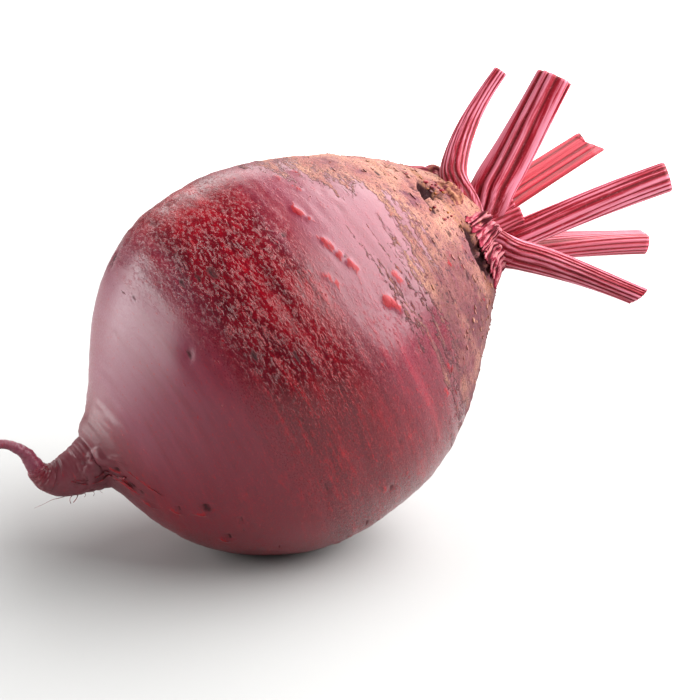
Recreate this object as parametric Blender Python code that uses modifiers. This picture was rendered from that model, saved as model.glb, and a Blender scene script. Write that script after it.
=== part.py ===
"""A whole beetroot with cut leaf stalks, lying on its belly.

The root (globe, crown and taproot) is one solid. It is turned round a straight axis as a profile,
then its stations are moved onto a centreline that sags at the belly and curls at the tail. Leaf
stalks and torn leaf bases are lofts that stand on the crown, each cut back from the root by a gap.

Row frame: metres, +Z up. The origin is the middle of the flat spot that the globe rests on, +X is
the way the crown points and the root's axis lies in the X-Z plane.
"""

import math
from dataclasses import dataclass

import bmesh
import bpy
from mathutils import Matrix, Vector

# Globe, from the neck of the taproot (station 0) to the crown's rim.
GLOBE_LENGTH = 0.091
GLOBE_HEIGHT = 0.0784  # across the globe where it is thickest, in the X-Z plane
GLOBE_WIDTH = 0.0764  # across the globe where it is thickest, along Y
WIDEST_STATION = 0.0440
NECK_RADIUS = 0.0060
CROWN_RADIUS = 0.0112
TAIL_FULLNESS = 2.60
CROWN_FULLNESS = 1.92
AXIS_LEAN = 26.0  # degrees from the ground up to the root's axis
BELLY_SAG = 0.0022  # how far the middle of the globe hangs below the straight axis
HEEL_SAG = 0.0031  # what the tail end of the globe hangs below that
HEEL_STATION = 0.008
HEEL_REACH = 0.0112  # how far along the axis the heel's sag fades away
BELLY_END = 0.0546  # station from which the belly's sag fades away towards the crown

# Crown: a low plateau inside the rim, where the stalks stand.
PLATEAU_RISE = 0.0012
PLATEAU_RADIUS = 0.0092
SLOPE_SHARE = 0.75  # how much of the rise is reached halfway between the rim and the plateau

# Taproot: route of its middle line in the X-Z plane from the neck, as (along X, along Z), with
# the radius that it has there.
TAIL_ROUTE = (
    (0.0, 0.0, NECK_RADIUS),
    (-0.0040, -0.0014, 0.0047),
    (-0.0080, -0.0022, 0.0037),
    (-0.0114, -0.0006, 0.0021),
    (-0.0138, 0.0034, 0.00125),
    (-0.0178, 0.0058, 0.00088),
    (-0.0243, 0.0054, 0.00068),
    (-0.0303, 0.0018, 0.00025),
)
TAIL_DRIFT = 0.003  # sideways reach of the tip, along Y
TAIL_BLEND = 0.006  # length over which the taproot's direction turns into the root's axis

# Flat spot that the globe rests on.
FLAT_DEPTH = 0.0015

# Stalks and torn bases.
TOUCH_GAP = 0.0003  # left between a stalk or a torn base and the root
SINK = 0.003  # how far a loft starts below its seat before it is cut
BASE_SLOPE = 0.22  # how much the top edge of a torn base falls across its width
BASE_TAPER = 0.35  # share of its width that a torn base loses up to its edge
BASE_THINNING = 0.45  # share of its thickness that a torn base loses up to its edge
BASE_CURL = 0.5  # how far a torn base follows the round of the shoulder
CHANNEL = 0.30  # depth of the groove on a stalk's inner face, as a share of its thickness
KNEE_SHARE = 0.34  # share of a stalk's length at which it has its middle width
TIP_START = 0.30  # share of a stalk's length from which it changes to its end width
WRAP_SHARE = 0.40  # share of a stalk's length over which its foot curls round the crown

ROUND_STEPS = 40  # facets round the root
GLOBE_RINGS = 22
TAIL_RINGS = 26
STALK_RINGS = 10
STALK_POINTS = 16
RING_CROWDING = 1.35  # above 1, a stalk's rings stand closer together near its foot
BASE_RINGS = 4
BELLY_STEPS = 400  # stations that are tried to find the lowest one
WELD = 1e-6


@dataclass(frozen=True)
class Spot:
    """A point over the crown: clock angle in degrees from the top towards -Y, radius, height."""

    clock: float
    radius: float
    height: float = 0.0


@dataclass(frozen=True)
class Stalk:
    """A cut leaf stalk: where it starts, bends and ends, and how wide and thick it is there."""

    name: str
    foot: Spot
    knee: Spot
    tip: Spot
    widths: tuple[float, float, float]
    thicknesses: tuple[float, float, float]


@dataclass(frozen=True)
class TornBase:
    """What is left of a leaf that was torn off: a low collar on the shoulder round the rim."""

    name: str
    clock: float
    drop: float
    width: float
    thickness: float
    height: float
    lean: float


STALKS = (
    Stalk(
        "leaf_stalk_1",
        Spot(46.0, 0.0098),
        Spot(-6.0, 0.0158, 0.0002),
        Spot(-6.0, 0.0238, 0.0196),
        (0.0122, 0.0062, 0.0034),
        (0.0024, 0.0054, 0.0033),
    ),
    Stalk(
        "leaf_stalk_2",
        Spot(72.0, 0.0044),
        Spot(24.0, 0.0076, 0.0096),
        Spot(4.0, 0.0178, 0.0284),
        (0.0082, 0.0088, 0.0088),
        (0.0030, 0.0060, 0.0066),
    ),
    Stalk(
        "leaf_stalk_3",
        Spot(-108.0, 0.0040),
        Spot(-110.0, 0.0052, 0.0090),
        Spot(-113.0, 0.0100, 0.0334),
        (0.0062, 0.0064, 0.0060),
        (0.0030, 0.0054, 0.0052),
    ),
    Stalk(
        "leaf_stalk_4",
        Spot(176.0, 0.0053),
        Spot(152.0, 0.0064, 0.0094),
        Spot(130.0, 0.0148, 0.0386),
        (0.0068, 0.0078, 0.0072),
        (0.0034, 0.0082, 0.0072),
    ),
    Stalk(
        "leaf_stalk_5",
        Spot(-154.0, 0.0086),
        Spot(-167.0, 0.0112, 0.0074),
        Spot(174.0, 0.0244, 0.0322),
        (0.0074, 0.0068, 0.0064),
        (0.0028, 0.0068, 0.0064),
    ),
    Stalk(
        "leaf_stalk_6",
        Spot(108.0, 0.0096),
        Spot(115.0, 0.0150, 0.0042),
        Spot(125.5, 0.0346, 0.0156),
        (0.0104, 0.0066, 0.0046),
        (0.0028, 0.0054, 0.0040),
    ),
)

TORN_BASES = (
    TornBase("torn_leaf_base_1", 76.0, 0.0012, 0.0078, 0.0013, 0.0030, 12.0),
    TornBase("torn_leaf_base_2", 110.0, 0.0016, 0.0092, 0.0014, 0.0022, 20.0),
    TornBase("torn_leaf_base_3", 34.0, 0.0030, 0.0070, 0.0013, 0.0026, 14.0),
    TornBase("torn_leaf_base_4", -22.0, 0.0020, 0.0086, 0.0020, 0.0026, 4.0),
    TornBase("torn_leaf_base_5", -74.0, 0.0012, 0.0090, 0.0014, 0.0034, 12.0),
    TornBase("torn_leaf_base_6", -124.0, 0.0016, 0.0082, 0.0013, 0.0030, 14.0),
    TornBase("torn_leaf_base_7", -172.0, 0.0012, 0.0088, 0.0014, 0.0030, 12.0),
)


def clear_scene():
    for obj in list(bpy.data.objects):
        bpy.data.objects.remove(obj, do_unlink=True)


def make_collection(name):
    collection = bpy.data.collections.new(name)
    bpy.context.scene.collection.children.link(collection)
    return collection


def make_material(name, color, roughness):
    material = bpy.data.materials.new(name)
    material.use_nodes = True
    shader = material.node_tree.nodes["Principled BSDF"]
    shader.inputs["Base Color"].default_value = (*color, 1.0)
    shader.inputs["Roughness"].default_value = roughness
    shader.inputs["Metallic"].default_value = 0.0
    material.diffuse_color = (*color, 1.0)
    return material


def globe_radius(station):
    """Radius of the globe in the X-Z plane: two power curves that meet at the widest station."""
    full = GLOBE_HEIGHT / 2
    if station < WIDEST_STATION:
        share = (WIDEST_STATION - station) / WIDEST_STATION
        return NECK_RADIUS + (full - NECK_RADIUS) * (1 - share**TAIL_FULLNESS)
    share = (station - WIDEST_STATION) / (GLOBE_LENGTH - WIDEST_STATION)
    return CROWN_RADIUS + (full - CROWN_RADIUS) * (1 - share**CROWN_FULLNESS)


def smooth_step(low, high, value):
    share = min(max((value - low) / (high - low), 0.0), 1.0)
    return share * share * (3 - 2 * share)


def sag(station):
    """How far the middle of the globe lies below the straight axis at a station."""
    if not 0 < station < GLOBE_LENGTH:
        return 0.0
    belly = BELLY_SAG * smooth_step(0, HEEL_STATION, station)
    belly *= 1 - smooth_step(BELLY_END, GLOBE_LENGTH, station)
    heel = math.exp(-(((station - HEEL_STATION) / HEEL_REACH) ** 2))
    return belly + HEEL_SAG * heel * smooth_step(0, HEEL_STATION / 2, station)


def lean_frame():
    """Axis of the root and the two directions across it: towards the top, and towards -Y."""
    lean = math.radians(AXIS_LEAN)
    along = Vector((math.cos(lean), 0, math.sin(lean)))
    top = Vector((-math.sin(lean), 0, math.cos(lean)))
    return along, top, Vector((0, -1, 0))


def neck_point():
    """Where the neck is, so that the flat spot's middle is the origin."""
    along, top, _ = lean_frame()
    below = []
    for step in range(1, BELLY_STEPS):
        station = GLOBE_LENGTH * step / BELLY_STEPS
        low = along * station - top * (globe_radius(station) + sag(station))
        below.append(low)
    lowest = min(below, key=lambda point: point.z)
    return Vector((-lowest.x, 0, -lowest.z - FLAT_DEPTH))


def route_point(points, share):
    """Point on a smooth curve through the points (Catmull-Rom), share 0 to 1."""
    last = len(points) - 1
    reach = min(max(share, 0.0), 1.0) * last
    step = min(int(reach), last - 1)
    part = reach - step
    near = [Vector(points[min(max(step + k, 0), last)]) for k in (-1, 0, 1, 2)]
    if step == 0:
        near[0] = near[1] * 2 - near[2]
    if step == last - 1:
        near[3] = near[2] * 2 - near[1]
    slope_in = (near[2] - near[0]) / 2
    slope_out = (near[3] - near[1]) / 2
    bend = near[1] * (2 * part**3 - 3 * part**2 + 1) + near[2] * (3 * part**2 - 2 * part**3)
    return bend + slope_in * (part**3 - 2 * part**2 + part) + slope_out * (part**3 - part**2)


def tail_rings():
    """Middle point and radius of each ring of the taproot, from its tip towards the neck."""
    rings = []
    for ring in range(TAIL_RINGS, 0, -1):
        share = ring / TAIL_RINGS
        x, z, radius = route_point(TAIL_ROUTE, share)
        rings.append((Vector((x, TAIL_DRIFT * share**2, z)), radius))
    return rings


def root_profile():
    """Radius and station of each ring, tail tip first, and the tail's middle points."""
    tail = tail_rings()
    stations = [0.0]
    for ring in range(len(tail) - 1, -1, -1):
        ahead = tail[ring + 1][0] if ring + 1 < len(tail) else Vector((0, 0, 0))
        stations.append(stations[-1] - (ahead - tail[ring][0]).length)
    stations = stations[:0:-1]
    profile = [(0.0, stations[0] - tail[0][1])]
    profile += [(radius, station) for (_, radius), station in zip(tail, stations)]
    for ring in range(GLOBE_RINGS + 1):
        station = GLOBE_LENGTH * (1 - math.cos(math.pi * ring / GLOBE_RINGS)) / 2
        profile.append((globe_radius(station), station))
    top = GLOBE_LENGTH + PLATEAU_RISE
    halfway = (CROWN_RADIUS + PLATEAU_RADIUS) / 2
    profile.append((halfway, GLOBE_LENGTH + SLOPE_SHARE * PLATEAU_RISE))
    profile.append((PLATEAU_RADIUS, top))
    profile.append((PLATEAU_RADIUS / 2, top))
    profile.append((0.0, top))
    route = [(station, middle) for (middle, _), station in zip(tail, stations)]
    return profile, route


def turn_profile(name, profile, skin):
    """Profile turned round Z by a Screw modifier. skin grows it outwards all over."""
    mesh = bpy.data.meshes.new(name)
    outline = [Vector((radius, 0, station)) for radius, station in profile]
    points = []
    for place, point in enumerate(outline):
        before = outline[max(place - 1, 0)]
        after = outline[min(place + 1, len(outline) - 1)]
        run = (after - before).normalized()
        out = Vector((run.z, 0, -run.x)) * skin
        end = place in (0, len(outline) - 1)
        points.append(point + (Vector((0, 0, skin if place else -skin)) if end else out))
    points.reverse()
    edges = [(k, k + 1) for k in range(len(points) - 1)]
    mesh.from_pydata(points, edges, [])
    obj = bpy.data.objects.new(name, mesh)
    bpy.context.scene.collection.objects.link(obj)
    screw = obj.modifiers.new("turn", "SCREW")
    screw.axis = "Z"
    screw.steps = ROUND_STEPS
    screw.render_steps = ROUND_STEPS
    screw.use_merge_vertices = True
    screw.merge_threshold = WELD
    graph = bpy.context.evaluated_depsgraph_get()
    solid = bpy.data.meshes.new_from_object(obj.evaluated_get(graph))
    bpy.data.objects.remove(obj, do_unlink=True)
    bpy.data.meshes.remove(mesh)
    return solid


def tail_frame(route, station):
    """Middle point and direction of the taproot at a station below 0, seen from the neck."""
    nodes = route + [(0.0, Vector((0, 0, 0)))]
    for (low, start), (high, end) in zip(nodes, nodes[1:]):
        if station <= high:
            share = max((station - low) / (high - low), -1.0)
            return start.lerp(end, share), (end - start).normalized()
    return nodes[-1][1], (nodes[-1][1] - nodes[-2][1]).normalized()


def lay_root(mesh, route):
    """Moves a turned root from its straight axis to its place over the ground."""
    along, top, side = lean_frame()
    neck = neck_point()
    flat_share = GLOBE_WIDTH / GLOBE_HEIGHT
    for vertex in mesh.vertices:
        up, across, station = vertex.co.x, vertex.co.y, vertex.co.z
        if station >= 0:
            squeeze = 1 + (flat_share - 1) * smooth_step(0, HEEL_STATION, station)
            middle = neck + along * station - top * sag(station)
            vertex.co = middle + top * up + side * across * squeeze
            continue
        middle, heading = tail_frame(route, station)
        blend = smooth_step(-TAIL_BLEND, 0.0, station)
        heading = heading.lerp(along, blend).normalized()
        upright = side.cross(heading).normalized()
        vertex.co = neck + middle + upright * up + heading.cross(upright) * across


def make_root(name, skin, collection):
    profile, route = root_profile()
    mesh = turn_profile(name, profile, skin)
    lay_root(mesh, route)
    obj = bpy.data.objects.new(name, mesh)
    collection.objects.link(obj)
    mesh.shade_smooth()
    return obj


def crown_place(spot):
    """A spot over the crown, as a point in the row frame."""
    along, _, _ = lean_frame()
    middle = neck_point() + along * (GLOBE_LENGTH + PLATEAU_RISE + spot.height)
    return middle + crown_way(spot.clock) * spot.radius


def crown_way(clock):
    """Direction out from the crown's middle at a clock angle."""
    _, top, side = lean_frame()
    angle = math.radians(clock)
    return top * math.cos(angle) + side * math.sin(angle)


def make_loft(name, rings, collection):
    """Closed solid through rings of points that all have the same count."""
    form = bmesh.new()
    layers = [[form.verts.new(point) for point in ring] for ring in rings]
    count = len(layers[0])
    for low, high in zip(layers, layers[1:]):
        for k in range(count):
            after = (k + 1) % count
            form.faces.new((low[k], low[after], high[after], high[k]))
    form.faces.new(layers[0][::-1])
    form.faces.new(layers[-1])
    bmesh.ops.recalc_face_normals(form, faces=form.faces)
    mesh = bpy.data.meshes.new(name)
    form.to_mesh(mesh)
    form.free()
    obj = bpy.data.objects.new(name, mesh)
    collection.objects.link(obj)
    return obj


def stalk_section(middle, heading, out, width, thickness, wrap):
    """Ring of a stalk: round on the outside, grooved on the inside, curled round the crown."""
    side = heading.cross(out).normalized()
    face = side.cross(heading).normalized()
    ring = []
    for k in range(STALK_POINTS):
        angle = 2 * math.pi * k / STALK_POINTS
        across = math.cos(angle) * width / 2
        deep = math.sin(angle) * thickness / 2
        if deep < 0:
            deep += CHANNEL * thickness * math.sin(angle) ** 2
        deep -= wrap * across * across
        ring.append(middle + side * across + face * deep)
    return ring


def three_way(values, share):
    """Value at a share of the length: first at 0, second from the knee on, third at the end."""
    first, second, third = values
    knee = smooth_step(0, KNEE_SHARE, share)
    return first + (second - first) * knee + (third - second) * smooth_step(TIP_START, 1.0, share)


def make_stalk(stalk, collection):
    foot = crown_place(Spot(stalk.foot.clock, stalk.foot.radius, -SINK))
    knee = crown_place(stalk.knee)
    tip = crown_place(stalk.tip)
    rings = []
    for ring in range(STALK_RINGS):
        share = (ring / (STALK_RINGS - 1)) ** RING_CROWDING
        middle = foot * (1 - share) ** 2 + knee * 2 * share * (1 - share) + tip * share**2
        heading = (knee - foot) * (1 - share) + (tip - knee) * share
        clock = three_way((stalk.foot.clock, stalk.knee.clock, stalk.tip.clock), share)
        if abs(stalk.tip.clock - stalk.knee.clock) > 180:
            clock = three_way((stalk.foot.clock, stalk.knee.clock, stalk.tip.clock - 360), share)
        wrap = (1 - smooth_step(0, WRAP_SHARE, share)) / (2 * stalk.foot.radius)
        width = three_way(stalk.widths, share)
        thickness = three_way(stalk.thicknesses, share)
        rings.append(
            stalk_section(middle, heading.normalized(), crown_way(clock), width, thickness, wrap)
        )
    return make_loft(stalk.name, rings, collection)


def make_torn_base(base, collection):
    """A thin collar that leans out from the shoulder, lower at its right end."""
    along, _, _ = lean_frame()
    out = crown_way(base.clock)
    lean = math.radians(base.lean)
    heading = along * math.cos(lean) + out * math.sin(lean)
    radius = globe_radius(GLOBE_LENGTH - base.drop) + base.thickness / 2
    foot = crown_place(Spot(base.clock, radius, -PLATEAU_RISE - base.drop - SINK))
    side = heading.cross(out).normalized()
    rings = []
    for ring in range(BASE_RINGS):
        share = ring / (BASE_RINGS - 1)
        middle = foot + heading * (SINK + base.height) * share
        width = base.width * (1 - BASE_TAPER * share**2)
        thickness = base.thickness * (1 - BASE_THINNING * share)
        points = stalk_section(middle, heading, out, width, thickness, BASE_CURL / radius)
        slope = BASE_SLOPE * share
        rings.append([p - heading * slope * (p - middle).dot(side) for p in points])
    return make_loft(base.name, rings, collection)


def cut(obj, cutter):
    modifier = obj.modifiers.new("cut by " + cutter.name, "BOOLEAN")
    modifier.operation = "DIFFERENCE"
    modifier.solver = "EXACT"
    modifier.object = cutter


def make_ground_cutter(collection):
    """Block below the ground plane: it cuts the flat spot."""
    size = 2 * GLOBE_LENGTH
    bpy.ops.mesh.primitive_cube_add(size=size, location=(0, 0, -size / 2))
    obj = bpy.context.object
    obj.name = "ground_cutter"
    for owner in list(obj.users_collection):
        owner.objects.unlink(obj)
    collection.objects.link(obj)
    return obj


def hide_cutters(collection):
    for obj in collection.objects:
        obj.hide_render = True
        obj.display_type = "WIRE"


def main():
    clear_scene()
    parts = make_collection("beetroot")
    cutters = make_collection("cutters")
    skin_color = make_material("root_skin", (0.20, 0.02, 0.05), 0.42)
    stalk_color = make_material("leaf_stalk", (0.62, 0.07, 0.14), 0.5)
    torn_color = make_material("torn_base", (0.42, 0.16, 0.15), 0.7)

    root = make_root("root", 0.0, parts)
    root.data.materials.append(skin_color)
    cut(root, make_ground_cutter(cutters))
    root_cutter = make_root("root_cutter", TOUCH_GAP, cutters)

    for stalk in STALKS:
        obj = make_stalk(stalk, parts)
        obj.data.materials.append(stalk_color)
        cut(obj, root_cutter)
    for base in TORN_BASES:
        obj = make_torn_base(base, parts)
        obj.data.materials.append(torn_color)
        cut(obj, root_cutter)
    hide_cutters(cutters)


main()
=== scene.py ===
"""Looks of a whole beetroot with cut leaf stalks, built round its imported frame.

The root's skin, the thin end of its taproot, the rootlets, the scars and flakes on the skin, the
leaf stalks and the torn leaf bases are separate pieces. The sizes at the top are the model's own.
Row frame: metres, +Z up, the origin at the middle of the flat spot, +X the way the crown points.
A place on the root is given by its clock, the angle round the axis in degrees from the top towards
-Y, and by its station, the distance along the axis from the neck towards the crown.
"""

import logging
import math
import random
from dataclasses import dataclass, field
from enum import Enum

import bmesh
import bpy
import numpy as np
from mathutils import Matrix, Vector, noise


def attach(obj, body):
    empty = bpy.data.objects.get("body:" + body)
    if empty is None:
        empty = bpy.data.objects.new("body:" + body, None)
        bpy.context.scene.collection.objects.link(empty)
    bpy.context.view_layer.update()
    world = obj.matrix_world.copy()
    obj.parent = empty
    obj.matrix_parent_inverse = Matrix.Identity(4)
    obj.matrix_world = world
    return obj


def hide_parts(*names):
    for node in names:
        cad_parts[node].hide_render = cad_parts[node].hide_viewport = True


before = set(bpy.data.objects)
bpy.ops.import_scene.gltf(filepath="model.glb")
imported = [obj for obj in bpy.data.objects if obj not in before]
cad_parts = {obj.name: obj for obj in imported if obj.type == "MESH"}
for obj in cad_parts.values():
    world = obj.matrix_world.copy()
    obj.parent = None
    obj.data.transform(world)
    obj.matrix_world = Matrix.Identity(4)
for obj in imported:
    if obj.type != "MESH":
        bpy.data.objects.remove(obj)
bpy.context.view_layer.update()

LOG = logging.getLogger("beetroot")
MM = 0.001
ONE_BODY = "root"
WHITE = (1.0, 1.0, 1.0, 1.0)


class Slot(Enum):
    """Finishes that the record names."""

    SKIN = "root_skin"
    STALK = "leaf_stalk"
    TORN = "torn_base"


class Mask(Enum):
    """Point attributes that steer the materials, 0 to 1; cork, pit and scar go past 1 in places."""

    CORK = "cork"
    GRAIN = "grain"
    NECK = "neck"
    PIT = "pit"
    RUDDY = "ruddy"
    UNDER = "under"
    DUST = "dust_and_sheen"
    SCAR = "scar"
    RIB = "rib"
    DARK = "dark"
    PALE = "pale"


SKIN_MASKS = (Mask.CORK, Mask.GRAIN, Mask.NECK, Mask.PIT, Mask.RUDDY, Mask.UNDER, Mask.DUST, Mask.SCAR)
GROWN = "grown"  # vector attribute: a point's place on the straight, turned form


def smooth_step(low: float, high: float, value: np.ndarray) -> np.ndarray:
    """Smooth rise from 0 at low to 1 at high."""
    share = np.clip((np.asarray(value, float) - low) / (high - low), 0.0, 1.0)
    return share * share * (3 - 2 * share)


def bump_at(value: np.ndarray, middle: float, reach: float) -> np.ndarray:
    """Bell of height 1 round a middle value."""
    return np.exp(-(((np.asarray(value, float) - middle) / reach) ** 2))


def turn_gap(angles: np.ndarray, middle: float) -> np.ndarray:
    """Signed difference of angles in degrees, -180 to 180."""
    return (np.asarray(angles, float) - middle + 180.0) % 360.0 - 180.0


def clock_bump(clock: np.ndarray, middle: float, reach: float) -> np.ndarray:
    """Bell of height 1 round a clock angle."""
    return bump_at(turn_gap(clock, middle), 0, reach)


def noise_at(points: np.ndarray, waves: tuple[float, float, float], octaves: int, seed: float) -> np.ndarray:
    """Fractal noise, about -1 to 1, at each point.

    Args:
        points: Places, one row each.
        waves: Length of one wave along each direction.
        octaves: Layers of finer noise.
        seed: Shift that makes one field unlike another.

    Returns:
        One value for each point.
    """
    scaled = points / np.array(waves) + seed
    return np.array([noise.fractal(p, 1.0, 2.0, octaves) for p in scaled.tolist()])


def curve_point(near: list[np.ndarray], part: float) -> np.ndarray:
    """Point of a smooth curve between the second and the third of four points.

    Args:
        near: The four points, in order.
        part: Share of the way from the second to the third.

    Returns:
        The point.
    """
    start = near[1] * (2 * part**3 - 3 * part**2 + 1)
    end = near[2] * (3 * part**2 - 2 * part**3)
    slope_in = (near[2] - near[0]) / 2 * (part**3 - 2 * part**2 + part)
    slope_out = (near[3] - near[1]) / 2 * (part**3 - part**2)
    return start + end + slope_in + slope_out


# ----------------------------------------------------------------------------------------------
# Sizes of the root, as in the model
# ----------------------------------------------------------------------------------------------


@dataclass(frozen=True)
class RootForm:
    """Sizes of the root and the formulas that lay its turned form over the ground."""

    globe_length: float = 0.091
    globe_height: float = 0.0784
    globe_width: float = 0.0764
    widest_station: float = 0.0440
    neck_radius: float = 0.0060
    crown_radius: float = 0.0112
    tail_fullness: float = 2.60
    crown_fullness: float = 1.92
    axis_lean: float = 26.0
    belly_sag: float = 0.0022
    belly_end: float = 0.0546
    belly_steps: int = 400
    heel_sag: float = 0.0031
    heel_station: float = 0.008
    heel_reach: float = 0.0112
    plateau_rise: float = 0.0012
    plateau_radius: float = 0.0092
    tail_drift: float = 0.003
    flat_depth: float = 0.0015
    blend_length: float = 0.006
    tail_route: tuple[tuple[float, float, float], ...] = (
        (0.0, 0.0, 0.0060),
        (-0.0040, -0.0014, 0.0047),
        (-0.0080, -0.0022, 0.0037),
        (-0.0114, -0.0006, 0.0021),
        (-0.0138, 0.0034, 0.00125),
        (-0.0178, 0.0058, 0.00088),
        (-0.0243, 0.0054, 0.00068),
        (-0.0303, 0.0018, 0.00025),
    )

    @property
    def along(self) -> np.ndarray:
        """Direction of the root's axis, towards the crown."""
        lean = math.radians(self.axis_lean)
        return np.array([math.cos(lean), 0.0, math.sin(lean)])

    @property
    def top(self) -> np.ndarray:
        """Direction across the axis, towards the top."""
        lean = math.radians(self.axis_lean)
        return np.array([-math.sin(lean), 0.0, math.cos(lean)])

    @property
    def side(self) -> np.ndarray:
        """Direction across the axis, level, towards -Y."""
        return np.array([0.0, -1.0, 0.0])

    def globe_radius(self, station: np.ndarray) -> np.ndarray:
        """Radius of the globe, made of two power curves.

        Args:
            station: Places along the axis.

        Returns:
            The radius at each of them.
        """
        station = np.asarray(station, float)
        full = self.globe_height / 2
        low = np.clip((self.widest_station - station) / self.widest_station, 0, None)
        high = np.clip((station - self.widest_station) / (self.globe_length - self.widest_station), 0, None)
        tail = self.neck_radius + (full - self.neck_radius) * (1 - low**self.tail_fullness)
        crown = self.crown_radius + (full - self.crown_radius) * (1 - high**self.crown_fullness)
        return np.where(station < self.widest_station, tail, crown)

    def sag(self, station: np.ndarray) -> np.ndarray:
        """How far the globe's middle hangs below the straight axis.

        Args:
            station: Places along the axis.

        Returns:
            The sag at each of them.
        """
        station = np.asarray(station, float)
        belly = self.belly_sag * smooth_step(0, self.heel_station, station)
        belly = belly * (1 - smooth_step(self.belly_end, self.globe_length, station))
        heel = self.heel_sag * bump_at(station, self.heel_station, self.heel_reach)
        heel = heel * smooth_step(0, self.heel_station / 2, station)
        inside = (station > 0) & (station < self.globe_length)
        return np.where(inside, belly + heel, 0.0)

    @property
    def neck(self) -> np.ndarray:
        """Where the neck is, so that the flat spot's middle is the origin.

        Returns:
            The neck's place in the row frame.
        """
        station = self.globe_length * np.arange(1, self.belly_steps) / self.belly_steps
        drop = self.globe_radius(station) + self.sag(station)
        low = np.outer(station, self.along) - np.outer(drop, self.top)
        lowest = low[low[:, 2].argmin()]
        return np.array([-lowest[0], 0.0, -lowest[2] - self.flat_depth])

    def route(self, steps: int = 240) -> tuple[np.ndarray, np.ndarray, np.ndarray]:
        """Taproot from its tip to the neck.

        Args:
            steps: How many points the smooth curve is read at.

        Returns:
            Stations (0 at the neck, below 0 in the taproot), middle points and radii.
        """
        points = np.array(self.tail_route)
        last = len(points) - 1
        shares = np.linspace(1, 0, steps)
        rows = []
        for share in shares:
            step = min(int(share * last), last - 1)
            near = [points[min(max(step + k, 0), last)] for k in (-1, 0, 1, 2)]
            if step == 0:
                near[0] = 2 * near[1] - near[2]
            if step == last - 1:
                near[3] = 2 * near[2] - near[1]
            rows.append(curve_point(near, share * last - step))
        rows = np.array(rows)
        middle = np.column_stack([rows[:, 0], self.tail_drift * shares**2, rows[:, 1]])
        runs = np.linalg.norm(np.diff(middle, axis=0), axis=1)
        stations = np.concatenate([[0.0], np.cumsum(runs)]) - runs.sum()
        return stations, middle, rows[:, 2]

    def lay(self, grown: np.ndarray) -> np.ndarray:
        """Places in the row frame of points of the straight, turned form.

        Args:
            grown: Rows of (up, across, station).

        Returns:
            Rows of (x, y, z).
        """
        up, across, station = grown[:, 0:1], grown[:, 1:2], grown[:, 2]
        squeeze = 1 + (self.globe_width / self.globe_height - 1) * smooth_step(0, self.heel_station, station)
        globe = self.neck + np.outer(station, self.along) - np.outer(self.sag(station), self.top)
        globe = globe + up * self.top + across * squeeze[:, None] * self.side
        stations, middle, _ = self.route()
        heading = np.gradient(middle, stations, axis=0)
        at = np.column_stack([np.interp(station, stations, middle[:, k]) for k in range(3)])
        way = np.column_stack([np.interp(station, stations, heading[:, k]) for k in range(3)])
        beyond = np.minimum(station - stations[0], 0)[:, None]
        at = at + beyond * way
        blend = smooth_step(-self.blend_length, 0, station)[:, None]
        way = way * (1 - blend) + self.along * blend
        way /= np.linalg.norm(way, axis=1, keepdims=True)
        upright = np.cross(self.side, way)
        upright /= np.linalg.norm(upright, axis=1, keepdims=True)
        tail = self.neck + at + upright * up + np.cross(way, upright) * across
        return np.where((station >= 0)[:, None], globe, tail)

    def crown_way(self, clock: float) -> np.ndarray:
        """Direction out from the crown's middle at a clock angle."""
        angle = math.radians(clock)
        return self.top * math.cos(angle) + self.side * math.sin(angle)

    def crown_place(self, clock: float, radius: float, height: float = 0.0) -> np.ndarray:
        """Point over the crown, height above its plateau."""
        middle = self.neck + self.along * (self.globe_length + self.plateau_rise + height)
        return middle + self.crown_way(clock) * radius


FORM = RootForm()


# ----------------------------------------------------------------------------------------------
# Mesh work
# ----------------------------------------------------------------------------------------------


def start_clean() -> None:
    """Leaves edit mode and deselects everything."""
    if bpy.context.object and bpy.context.object.mode != "OBJECT":
        bpy.ops.object.mode_set(mode="OBJECT")
    bpy.ops.object.select_all(action="DESELECT")


def join_all(objects: list[bpy.types.Object], name: str) -> bpy.types.Object:
    """Joins objects of one kind into one mesh.

    Args:
        objects: Meshes or curves.
        name: Name of the joined object.

    Returns:
        The joined object.
    """
    start_clean()
    for obj in objects:
        obj.select_set(True)
    bpy.context.view_layer.objects.active = objects[0]
    bpy.ops.object.convert(target="MESH")
    bpy.ops.object.join()
    joined = bpy.context.object
    joined.name = name
    return joined


def read_rows(data: bpy.types.bpy_prop_collection, key: str) -> np.ndarray:
    """Reads a vector from each item of a mesh's data.

    Args:
        data: The mesh's points, or one of its attributes.
        key: The vector's name.

    Returns:
        One row for each item.
    """
    flat = np.zeros(len(data) * 3, np.float32)
    data.foreach_get(key, flat)
    return flat.reshape(-1, 3).astype(float)


def points_of(obj: bpy.types.Object) -> np.ndarray:
    """Rows of a mesh's points."""
    return read_rows(obj.data.vertices, "co")


def normals_of(obj: bpy.types.Object) -> np.ndarray:
    """Rows of a mesh's point normals."""
    return read_rows(obj.data.vertices, "normal")


def mask_of(obj: bpy.types.Object, mask: Mask) -> np.ndarray:
    """Reads a mask back from a mesh.

    Args:
        obj: The painted piece.
        mask: Which mask.

    Returns:
        Its value at each point.
    """
    values = np.zeros(len(obj.data.vertices), np.float32)
    obj.data.attributes[mask.value].data.foreach_get("value", values)
    return values


def place_points(obj: bpy.types.Object, points: np.ndarray) -> None:
    """Moves a mesh's points to the rows given."""
    obj.data.vertices.foreach_set("co", np.ascontiguousarray(points, np.float32).ravel())
    obj.data.update()


def paint(obj: bpy.types.Object, name: str, values: np.ndarray) -> None:
    """Writes a point attribute.

    Args:
        obj: The piece.
        name: Name of the attribute.
        values: One number or one vector for each point.
    """
    kind, key = ("FLOAT_VECTOR", "vector") if values.ndim == 2 else ("FLOAT", "value")
    layer = obj.data.attributes.get(name) or obj.data.attributes.new(name, kind, "POINT")
    layer.data.foreach_set(key, np.ascontiguousarray(values, np.float32).ravel())


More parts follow.
